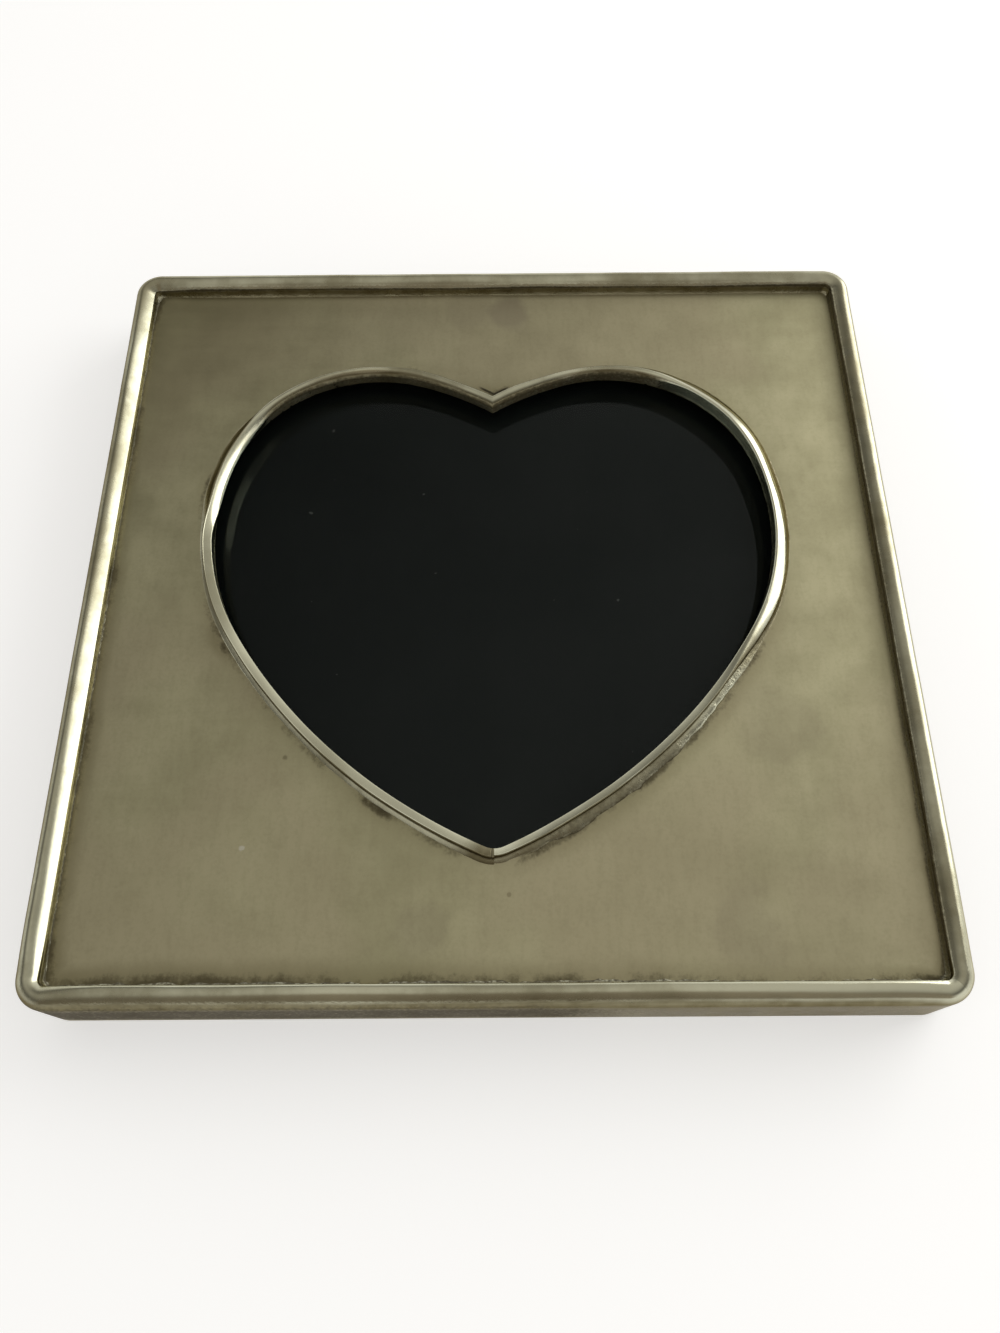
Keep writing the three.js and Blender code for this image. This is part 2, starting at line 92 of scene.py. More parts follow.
# Rail section, measured inwards from the outer face: a wall, a rim whose top slopes inwards, and a ledge
CORNER_RADIUS = 5.0
WALL = 2.0
RIM_WIDTH = 3.6
RIM_INNER_EDGE = 0.35
RIM_TILTS = [math.radians(tilt) for tilt in (-90, 10, 40, 90)]
LEDGE_REACH = 8.0

# Heart outline: half of it is five arcs, each tangent to the next
LOBE_CENTRE = np.array((23.2, 20.3))
LOBE_RADIUS = 29.3
NOTCH_FLANK_RADIUS = 60.0
SIDE_RADIUS = 47.0
LOWER_FLANK_RADIUS = 100.0
TIP_RADIUS = 4.0
LOBE_START = math.radians(108)
SIDE_START = math.radians(18)
LOWER_FLANK_START = math.radians(-31)
BEZEL_WIDTH = 1.8
SOLDER_GAP = 0.1

# Hinge and fasteners of the back
HINGE_Y = 40.0
HINGE_HALF = 12.0
LEAF_LENGTH = 14.0
LEAF_CORNER = 2.5
LEAF_THICKNESS = 0.6
KNUCKLE_HALF = 4.0
KNUCKLE_GAP = 0.3
PIN_RADIUS = 0.8
RIVET_X = 7.5
RIVET_SETBACK = 8.5
BUTTON_X = 70.0
BUTTON_Y = 40.0
BUTTON_ARM = 10.0
BUTTON_ROUND = 2.8
BUTTON_TIP = 2.0
PANE_CORNER = 1.0
RIVET_HOLE = 1.2
SCREW_HOLE = 1.1


# Shading and node building

def math_method(operation, reflected=False):
    """A method that adds a Math node; a reflected one takes its own value last."""
    def method(wire, *others):
        values = (*others, wire) if reflected else (wire, *others)
        return wire.nodes.node("ShaderNodeMath", {"operation": operation}, dict(enumerate(values)))
    return method


class Wire:
    """A node's output that can be used in sums: each operator adds a Math node."""

    def __init__(self, nodes, socket):
        self.nodes = nodes
        self.socket = socket

    __add__, __radd__ = math_method("ADD"), math_method("ADD", True)
    __sub__, __rsub__ = math_method("SUBTRACT"), math_method("SUBTRACT", True)
    __mul__, __rmul__ = math_method("MULTIPLY"), math_method("MULTIPLY", True)
    __truediv__ = math_method("DIVIDE")
    __pow__ = math_method("POWER")
    __gt__ = math_method("GREATER_THAN")
    __lt__ = math_method("LESS_THAN")
    __abs__ = math_method("ABSOLUTE")
    at_least = math_method("MAXIMUM")


class Nodes:
    """A node tree and the one method that adds a node to it, with short forms for the nodes used most."""

    def __init__(self, tree):
        self.tree = tree
        tree.nodes.clear()

    def node(self, kind, settings=None, inputs=None, output=0):
        made = self.tree.nodes.new(kind)
        for name, value in (settings or {}).items():
            setattr(made, name, value)
        for key, value in (inputs or {}).items():
            if isinstance(value, Wire):
                self.tree.links.new(value.socket, made.inputs[key])
            else:
                made.inputs[key].default_value = value
        return Wire(self, made.outputs[output]) if made.outputs else None

    def split(self, vector):
        parts = self.node("ShaderNodeSeparateXYZ", inputs={0: vector})
        return [Wire(self, socket) for socket in parts.socket.node.outputs]

    def join(self, x, y, z):
        return self.node("ShaderNodeCombineXYZ", inputs={0: x, 1: y, 2: z})

    def ramp(self, value, low, high):
        """0 below low and 1 above high, with a soft step between; low may be the larger."""
        inputs = {"Value": value, "From Min": low, "From Max": high}
        return self.node("ShaderNodeMapRange", {"interpolation_type": "SMOOTHSTEP"}, inputs)

    def mix(self, share, first, second):
        """A colour between two: share 0 is the first."""
        return self.node("ShaderNodeMix", {"data_type": "RGBA"}, {0: share, 6: first, 7: second}, 2)

    def bump(self, height, strength, distance, before=None):
        inputs = {"Height": height, "Strength": strength, "Distance": distance}
        if before:
            inputs["Normal"] = before
        return self.node("ShaderNodeBump", inputs=inputs)


class Finish(Nodes):
    """A material, with Object coordinates and the piece's own attributes to draw on."""

    def __init__(self, name):
        self.material = bpy.data.materials.new(name)
        self.material.use_nodes = True
        super().__init__(self.material.node_tree)
        self.place = self.node("ShaderNodeTexCoord", output="Object")

    def noise(self, per_mm, detail=2.0, roughness=0.5, along=None):
        """Noise with so many waves per millimetre; along scales its three axes."""
        place = self.place
        if along:
            place = self.node("ShaderNodeMapping", inputs={"Vector": place, "Scale": along})
        inputs = {"Vector": place, "Scale": per_mm / MM, "Detail": detail, "Roughness": roughness}
        return self.node("ShaderNodeTexNoise", inputs=inputs)

    def spot(self, across, up, ragged, size, core):
        """1 in the core of a round spot on the plate and 0 outside its size, with a ragged edge."""
        middle = (across * MM, up * MM, PLATE_FRONT * MM)
        far = self.node("ShaderNodeVectorMath", {"operation": "DISTANCE"}, {0: self.place, 1: middle}, 1)
        return self.ramp(far / MM + ragged, size, core)

    def attribute(self, name):
        return self.node("ShaderNodeAttribute", {"attribute_name": name}, output="Fac")

    def show(self, shader):
        self.node("ShaderNodeOutputMaterial", inputs={"Surface": shader})
        return self.material

    def principled(self, **sockets):
        """The surface shader: a socket's name is written with underscores."""
        inputs = {name.replace("_", " "): value for name, value in sockets.items()}
        return self.node("ShaderNodeBsdfPrincipled", inputs=inputs)


def colour(red, green, blue):
    return (red, green, blue, 1.0)


# Materials

CLEAN_PEWTER = colour(0.615, 0.605, 0.455)
DULL_PEWTER = colour(0.415, 0.393, 0.262)
BROWN_PEWTER = colour(0.150, 0.129, 0.072)
TAN_PEWTER = colour(0.255, 0.230, 0.145)
GRIME_AND_SHADE = colour(0.055, 0.043, 0.020)
PEWTER_EDGE = colour(0.58, 0.54, 0.46)

# Finger marks on the plate: x, y, size and strength
SMUDGES = (
    (3.5, 65.5, 5.2, 0.58),
    (-5.0, 67.5, 6.0, 0.20),
    (41.0, -62.0, 8.0, 0.20),
    (-12.0, -63.0, 5.5, 0.20),
    (50.0, -27.0, 9.0, 0.18),
)

# Specks on the plate: x, y, size and colour
SPECKS = (
    (-42.0, -49.0, 0.6, colour(0.75, 0.74, 0.68)),
    (-36.0, -33.0, 0.6, colour(0.08, 0.066, 0.03)),
    (2.4, -57.0, 0.5, colour(0.15, 0.125, 0.065)),
)

# The crack in the solder at the notch: two strokes that rise from its middle
CRACK_X, CRACK_Y = 0.3, 45.0
CRACK_SLOPE = 0.58


def polished_pewter():
    """Rails and bezel: bright where hands rub it, brown on the walls and dark in the joints of the solder;
    part of the brown and the dark is painted shade.
    """
    finish = Finish("polished_pewter")
    soil_and_shade = finish.attribute("soil_and_shade")
    tarnish_and_shade = finish.attribute("tarnish_and_shade")
    clouds = finish.noise(0.05, 3.0)
    specks = finish.noise(1.6, 3.0, 0.6)
    smears = finish.noise(0.35, 4.0, 0.6)
    facing = finish.node("ShaderNodeTexCoord", output="Normal")
    wall = finish.ramp(abs(finish.split(facing)[2]), 0.45, 0.15)
    filed = finish.noise(2.4, 3.0, 0.65, along=(0.04, 0.04, 1.0))
    runs = finish.noise(0.22, 4.0, 0.6, along=(1.0, 1.0, 0.25))
    dull = finish.ramp(clouds + (smears - 0.5) * 0.4, 0.42, 0.78)
    stains = ((runs - 0.5) * 0.5 + (filed - 0.5) * 0.3) * wall
    # Brown from tarnish and dark from soil, both partly painted shade.
    brown = finish.ramp(tarnish_and_shade + (clouds - 0.5) * 0.8 + (smears - 0.5) * 0.3 + stains, 0.15, 0.95)
    dirt_and_shade = finish.ramp(soil_and_shade + ((specks - 0.5) * 1.3 + (smears - 0.5) * 0.6) * soil_and_shade.at_least(0.15), 0.42, 0.95)
    metal = finish.mix(dull * 0.6, CLEAN_PEWTER, DULL_PEWTER)
    mottle = finish.ramp(runs * 0.45 + smears * 0.3 + filed * 0.25, 0.34, 0.66)
    patina = finish.mix(mottle, BROWN_PEWTER, TAN_PEWTER)
    toned = finish.mix(brown, metal, patina)
    base = finish.mix(dirt_and_shade * 0.9, toned, GRIME_AND_SHADE)
    rough = 0.17 + dull * 0.08 + brown * 0.10 + (smears - 0.5) * 0.08 + dirt_and_shade * 0.35
    dents = finish.bump(smears + filed * wall * 0.6, 0.14, 0.05 * MM)
    grain = finish.bump(specks * finish.ramp(soil_and_shade, 0.0, 0.4), 0.6, 0.12 * MM, dents)
    shader = finish.principled(
        Base_Color=base, Roughness=rough, Metallic=1.0 - dirt_and_shade * 0.6, Normal=grain, Specular_Tint=PEWTER_EDGE
    )
    return finish.show(shader)


def satin_plate():
    """The sheet: satin and cloudy, wiped in long strokes, with dirt and painted shade along the rim and round
    the bezel and painted shade towards the top-left corner.
    """
    finish = Finish("satin_pewter_plate")
    rim_gap = finish.attribute("rim_gap")
    rim_dirt_and_shade = finish.attribute("rim_dirt_and_shade")
    bezel_gap = finish.attribute("bezel_gap")
    bezel_dirt_and_shade = finish.attribute("bezel_dirt_and_shade")
    clouds = finish.noise(0.035, 4.0, 0.55)
    patches = finish.noise(0.11, 4.0, 0.55)
    hues = finish.noise(0.022, 3.0, along=(1.0, 1.0, 4.0))
    grit = finish.noise(1.7, 3.0, 0.65)
    streaks = finish.noise(0.8, 3.0, 0.6, along=(1.0, 0.25, 1.0))
    wipes = finish.noise(0.8, 2.0, along=(0.08, 1.0, 1.0))
    uneven = 0.90 + (patches - 0.5) * 2.6
    near_rim = rim_dirt_and_shade * uneven * finish.ramp(rim_gap, 5.5, 0.2)
    near_bezel = bezel_dirt_and_shade * (uneven - 0.1) * finish.ramp(bezel_gap, 3.0, 1.3)
    speckle = (grit - 0.5) * 0.7 + (streaks - 0.5) * 0.5
    dirt_and_shade = finish.ramp(near_rim.at_least(near_bezel) + speckle * 0.85, 0.38, 1.05)
    x, y, _ = finish.split(finish.place)
    from_notch = abs(x / MM - CRACK_X)
    off_crack = abs(y / MM - CRACK_Y - from_notch * CRACK_SLOPE)
    crack = finish.ramp(off_crack + (grit - 0.5) * 0.3, 0.42, 0.15)
    crack = crack * finish.ramp(from_notch, 3.4, 2.0)
    dirt_and_shade = dirt_and_shade.at_least(crack)
    # Painted shade: a wide soft darkening along the rim and round the bezel, over the dirt there.
    shade = finish.ramp(rim_dirt_and_shade * finish.ramp(rim_gap, 10.0, 0.0) + (patches - 0.5) * 0.7, 0.15, 1.0)
    bezel_shade = finish.ramp(bezel_dirt_and_shade * finish.ramp(bezel_gap, 7.0, 0.0) + (patches - 0.5) * 0.7, 0.15, 1.0)
    # Painted shade: the plate darkens towards its top-left corner. It is also a little paler towards the
    # lower left.
    paler = finish.ramp((y + x * 0.6) / MM, -45.0, -90.0) * 0.06
    painted_corner_shade = finish.ramp((y - x) / MM, 70.0, 135.0) * 0.55
    cloud = finish.ramp(clouds * 0.6 + patches * 0.4 + (wipes - 0.5) * 0.07 + paler, 0.36, 0.64)
    olive = finish.mix(cloud, colour(0.375, 0.350, 0.215), colour(0.485, 0.455, 0.290))
    clean = finish.mix(finish.ramp(hues, 0.42, 0.62) * 0.6, olive, colour(0.435, 0.385, 0.255))
    shaded_and_grained = finish.mix((shade.at_least(bezel_shade * 0.7) * 0.6).at_least(painted_corner_shade), clean, colour(0.20, 0.172, 0.088))
    grain = finish.ramp(grit * 0.55 + streaks * 0.45, 0.40, 0.70) * 0.24
    shaded_and_grained = finish.mix(grain, shaded_and_grained, colour(0.27, 0.245, 0.15))
    smudges = [
        finish.spot(across, up, (patches - 0.5) * size * 1.3, size, size * 0.5) * strength
        for across, up, size, strength in SMUDGES
    ]
    smudge = reduce(Wire.at_least, smudges)
    marked = finish.mix(smudge, shaded_and_grained, colour(0.27, 0.235, 0.165))
    for across, up, size, paint in SPECKS:
        speck = finish.spot(across, up, (grit - 0.5) * 0.8, size, size * 0.4)
        marked = finish.mix(speck * 0.45, marked, paint)
    dirty = finish.mix(dirt_and_shade * 0.80, marked, colour(0.070, 0.056, 0.026))
    base = finish.mix(crack * 0.8, dirty, colour(0.016, 0.013, 0.007))
    rough = 0.36 + (patches - 0.5) * 0.16 + (wipes - 0.5) * 0.06 + smudge * 0.12 + dirt_and_shade * 0.35
    scratch = finish.bump(wipes + streaks * 0.5, 0.05, 0.02 * MM)
    shader = finish.principled(
        Base_Color=base, Roughness=rough, Metallic=1.0 - dirt_and_shade * 0.6, Normal=scratch, Specular_Tint=PEWTER_EDGE
    )
    return finish.show(shader)


def clear_glass():
    """Float glass: clear from above, with a mirror image at low angles and a trace of wiped smears."""
    finish = Finish("clear_glass")
    smears = finish.noise(0.05, 3.0, along=(0.3, 1.0, 1.0))
    mirror = finish.node("ShaderNodeFresnel", inputs={"IOR": 1.45})
    share = finish.ramp(mirror, 0.06, 0.6) * (0.40 + finish.ramp(smears, 0.45, 0.75) * 0.1)
    rough = 0.02 + finish.ramp(smears, 0.5, 0.8) * 0.05
    gloss = finish.principled(Base_Color=colour(0.9, 0.95, 0.94), Metallic=1.0, Roughness=rough)
    clear = finish.node("ShaderNodeBsdfTransparent", inputs={"Color": colour(0.95, 0.97, 0.965)})
    return finish.show(finish.node("ShaderNodeMixShader", inputs={0: share, 1: clear, 2: gloss}))


def black_card():
    """The sheet behind the glass: black, with a smooth coated face."""
    finish = Finish("black_card")
    fibres = finish.noise(2.2, 4.0, 0.7, along=(1.0, 0.35, 1.0))
    clouds = finish.noise(0.04, 3.0)
    specks = finish.ramp(finish.noise(0.5, 1.0), 0.80, 0.84)
    black = finish.mix(clouds, colour(0.0048, 0.0066, 0.0062), colour(0.0066, 0.0078, 0.0074))
    base = finish.mix(specks * 0.5, black, colour(0.12, 0.12, 0.11))
    rough = 0.82 + (fibres - 0.5) * 0.2
    sheen = 0.35 + finish.ramp(clouds, 0.4, 0.7) * 0.06
    shader = finish.principled(
        Base_Color=base, Roughness=rough, Specular_IOR_Level=0.05, Coat_Weight=sheen, Coat_Roughness=0.03
    )
    return finish.show(shader)


def black_flock():
    """Flocked hardboard: a short black nap, brushed in patches, and a brown core at the cut edges."""
    finish = Finish("black_flock")
    facing = finish.node("ShaderNodeTexCoord", output="Normal")
    cut = finish.ramp(abs(finish.split(facing)[2]), 0.5, 0.2)
    nap = finish.noise(3.2, 3.0, 0.7)
    brushed = finish.noise(0.07, 3.0, 0.6, along=(1.0, 0.5, 1.0))
    lint = finish.ramp(finish.noise(0.9, 2.0), 0.74, 0.80)
    combed = finish.ramp(brushed, 0.35, 0.65)
    black = finish.mix(combed, colour(0.010, 0.0098, 0.0092), colour(0.026, 0.025, 0.023))
    tufted = finish.mix(finish.ramp(nap, 0.35, 0.75), black, colour(0.034, 0.033, 0.031))
    dusty = finish.mix(lint * 0.35, tufted, colour(0.20, 0.19, 0.17))
    fibre = finish.noise(1.2, 3.0, 0.7, along=(1.0, 1.0, 6.0))
    core = finish.mix(fibre, colour(0.085, 0.050, 0.026), colour(0.17, 0.105, 0.058))
    base = finish.mix(cut * 0.85, dusty, core)
    pile = finish.bump(nap, 0.55, 0.12 * MM)
    shader = finish.principled(
        Base_Color=base, Roughness=0.88 + (nap - 0.5) * 0.2, Normal=pile,
        Sheen_Weight=0.35, Sheen_Roughness=0.45, Sheen_Tint=colour(0.6, 0.58, 0.55),
    )
    return finish.show(shader)


def aged_brass():
    """Hinge, rivets, buttons and screws: brushed brass gone brown in clouds, with dark spots."""
    finish = Finish("aged_brass")
    clouds = finish.noise(0.16, 4.0, 0.6)
    specks = finish.noise(1.3, 3.0, 0.65)
    brush = finish.noise(2.4, 2.0, along=(0.12, 1.0, 1.0))
    brown = finish.ramp(clouds + (specks - 0.5) * 0.5, 0.48, 0.82)
    spots = finish.ramp(specks + (clouds - 0.5) * 0.4, 0.66, 0.8)
    metal = finish.mix(brown, colour(0.66, 0.50, 0.22), colour(0.30, 0.20, 0.085))
    base = finish.mix(spots * 0.7, metal, colour(0.07, 0.05, 0.025))
    rough = 0.28 + brown * 0.2 + (brush - 0.5) * 0.12 + spots * 0.2
    lines = finish.bump(brush, 0.06, 0.02 * MM)
    pits = finish.bump(specks, 0.10, 0.03 * MM, lines)
    shader = finish.principled(Base_Color=base, Roughness=rough, Metallic=1.0 - spots * 0.4, Normal=pits)
    return finish.show(shader)


# Mesh building

def make_mesh(name, points, faces, attributes=None):
    """A closed mesh with merged doubles, faces outwards and smooth shading; points in millimetres."""
    mesh = bpy.data.meshes.new(name)
    mesh.from_pydata((np.asarray(points) * MM).tolist(), [], faces)
    for label, values in (attributes or {}).items():
        layer = mesh.attributes.new(label, "FLOAT", "POINT")
        layer.data.foreach_set("value", np.asarray(values, np.float32))
    return tidy_mesh(mesh)


def tidy_mesh(mesh, sharp_deg=35.0, merge=0.0005):
    work = bmesh.new()
    work.from_mesh(mesh)
    bmesh.ops.remove_doubles(work, verts=work.verts, dist=merge * MM)
    bmesh.ops.recalc_face_normals(work, faces=work.faces)
    work.to_mesh(mesh)
    work.free()
    mesh.shade_smooth()
    mesh.set_sharp_from_angle(angle=math.radians(sharp_deg))
    return mesh


def settle(made):
    """The mesh of an object with its modifiers or curve settings worked out; the object itself is removed."""
    bpy.context.scene.collection.objects.link(made)
    graph = bpy.context.evaluated_depsgraph_get()
    mesh = bpy.data.meshes.new_from_object(made.evaluated_get(graph), depsgraph=graph)
    made.modifiers.clear()
    bpy.data.objects.remove(made)
    return mesh


def place_piece(name, mesh, material, slot, body, *nodes):
    mesh.name = name
    mesh.materials.clear()
    mesh.materials.append(material)
    piece = bpy.data.objects.new(name, mesh)
    bpy.context.scene.collection.objects.link(piece)
    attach(piece, body)
    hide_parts(*nodes)


def arc(centre, radius, start_deg, end_deg, steps):
    angles = np.radians(np.linspace(start_deg, end_deg, steps + 1))
    return np.column_stack((centre[0] + radius * np.cos(angles), centre[1] + radius * np.sin(angles)))


def grid_faces(rows, columns, rows_close, columns_close):
    """Faces between the rows of a grid, point i of row k being k * columns + i."""
    faces = []
    for k in range(rows if rows_close else rows - 1):
        here, there = k * columns, (k + 1) % rows * columns
        for i in range(columns if columns_close else columns - 1):
            after = (i + 1) % columns
            faces.append((here + i, here + after, there + after, there + i))
    return faces


def station_line(x, y, *values):
    """One line of a strip: x, y, level, and the soil and tarnish, both partly painted shade, at each of its
    stations.
    """
    return np.array([x, y, *(np.broadcast_to(value, x.shape) for value in values)])


def swept_mesh(name, lines):
    """A strip whose closed section is carried along its stations; each line is one point of the section."""
    section, stations = len(lines), len(lines[0][0])
    points = np.concatenate([line[:3].T for line in lines])
    faces = grid_faces(section, stations, True, False)
    faces.append(tuple(k * stations for k in range(section)))
    faces.append(tuple(k * stations + stations - 1 for k in reversed(range(section))))
    soil_and_shade, tarnish_and_shade = (np.concatenate([line[k] for line in lines]) for k in (3, 4))
    return make_mesh(name, points, faces, {"soil_and_shade": soil_and_shade, "tarnish_and_shade": tarnish_and_shade})


def eased(value):
    """0 below 0, 1 above 1 and a smooth step between."""
    value = np.clip(value, 0, 1)
    return value * value * (3 - 2 * value)


def hump(value, middle, width):
    """1 at the middle, fading to 0 on both sides."""
    return np.exp(-(((value - middle) / width) ** 2))


def waver(turns, wavelength, girth, seed):
    """Smooth random numbers, about -1 to 1, round a closed outline; turns run from 0 to 1 round it."""
    reach = girth / (2 * math.pi * wavelength)
    angles = 2 * math.pi * np.asarray(turns)
    places = np.column_stack((reach * np.cos(angles), reach * np.sin(angles)))
    return np.array([noise.noise(Vector((a, b, seed))) for a, b in places])


# Rails

RAIL_STEP = 0.8
CORNER_STEPS = 16
CORNER_EASE = 14.0
RIM_STEPS = (14, 8, 6)
FOOT_EDGE = 0.3
WALL_START = 2.5
BEAD_SINK = 0.06
RUBBED_REACH = 5.0
MITRE_REACH = 7.0
# Where the painted shade on the front rail fades out towards the right
SHADE_FADE_FROM, SHADE_FADE_EASE = 5.0, 30.0
GIRTH = 8 * HALF
SIDES = ("bottom", "right", "top", "left")

# What differs from side to side, in the order of SIDES
RAIL_SIDES = {
    "shoulder": (2.6, 1.75, 1.3, 1.5),
    "lean": (0.0, 0.0, 0.04, 0.42),
    "bead_reach": (0.95, 0.60, 0.95, 0.34),
    "bead_height": (1.2, 1.5, 2.0, 1.3),
    "bead_lumps": (1.0, 0.55, 0.06, 0.9),
    "bead_soil": (0.48, 0.58, 0.42, 0.30),
    "bead_tarnish": (0.1, 1.0, 1.3, 0.25),
    "foot_soil": (0.35, 0.15, 0.05, 0.60),
    "joint_soil": (1.0, 1.0, 1.0, 0.40),
    "top_tarnish": (0.42, 0.66, 0.58, 0.58),
    # The inner and outer tarnish and soil are partly painted shade and reflection: darkest on the faces that
    # turn away from the window light.
    "inner_tarnish": (0.10, 1.60, 1.00, 0.30),
    "inner_soil": (0.0, 0.70, 0.80, 0.0),
    "outer_tarnish": (1.50, 0.0, 0.60, 1.70),
    "outer_soil": (0.60, 0.0, 0.0, 0.80),
}

# How big the blob of solder is at the corner where each side starts
CORNER_BLOBS = (1.0, 1.7, 0.8, 1.9)


def rail_stations():
    """Each station's direction from the middle of a corner's curve, and its place along the straight."""
    straight = HALF - CORNER_RADIUS
    count = round(2 * straight / RAIL_STEP)
    first = np.radians(np.linspace(225, 270, CORNER_STEPS + 1))[:-1]
    last = np.radians(np.linspace(270, 315, CORNER_STEPS + 1))[1:]
    along = np.linspace(-straight, straight, count + 1)
    angles = np.concatenate((first, np.full(count + 1, math.radians(270)), last))
    ends = np.concatenate((np.full(len(first), -straight), along, np.full(len(last), straight)))
    return angles, ends


def rail_line(angles, ends, inset):
    """The bottom rail's outline at an inset from its outer face, which may differ from station to station."""
    radius = np.maximum(CORNER_RADIUS - inset, 0.0)
    centre_y = CORNER_RADIUS - HALF + np.maximum(inset - CORNER_RADIUS, 0.0)
    shrink = np.minimum(1.0, (HALF - inset) / (HALF - CORNER_RADIUS))
    return ends * shrink + radius * np.cos(angles), centre_y + radius * np.sin(angles)


def blended(values, quarter, travel):
    """A side's own one of four values along its rail, easing to the mean of two sides at each corner."""
    own = values[quarter]
    other = np.where(travel < 0, values[quarter - 1], values[(quarter + 1) % 4])
    return own + (other - own) * eased(1 - (HALF - np.abs(travel)) / CORNER_EASE) / 2


def rounded_run(start, radii, tilts, steps, way):
    """Places, levels and tilts along arcs that join smoothly. A tilt leans to the inside; way is +1 for a run
    that goes inwards and -1 for one that goes outwards. A radius may differ from station to station."""
    place, level = start
    rows = []
    for radius, first, last, count in zip(radii, tilts[:-1], tilts[1:], steps):
        points = []
        for tilt in np.linspace(first, last, count + 1):
            across = way * radius * (math.sin(tilt) - math.sin(first))
            points.append((place + across, level + radius * (math.cos(tilt) - math.cos(first)), tilt))
        rows += points[1:] if rows else points
        place, level, _ = points[-1]
    return rows


def rim_section(shoulder):
    sines = np.sin(RIM_TILTS)
    slope_run = RIM_WIDTH - shoulder * (1 + sines[1]) - RIM_INNER_EDGE * (1 - sines[2])
    radii = (shoulder, slope_run / (sines[2] - sines[1]), RIM_INNER_EDGE)
    return rounded_run((0.0, RIM_TOP - shoulder), radii, RIM_TILTS, RIM_STEPS, 1)


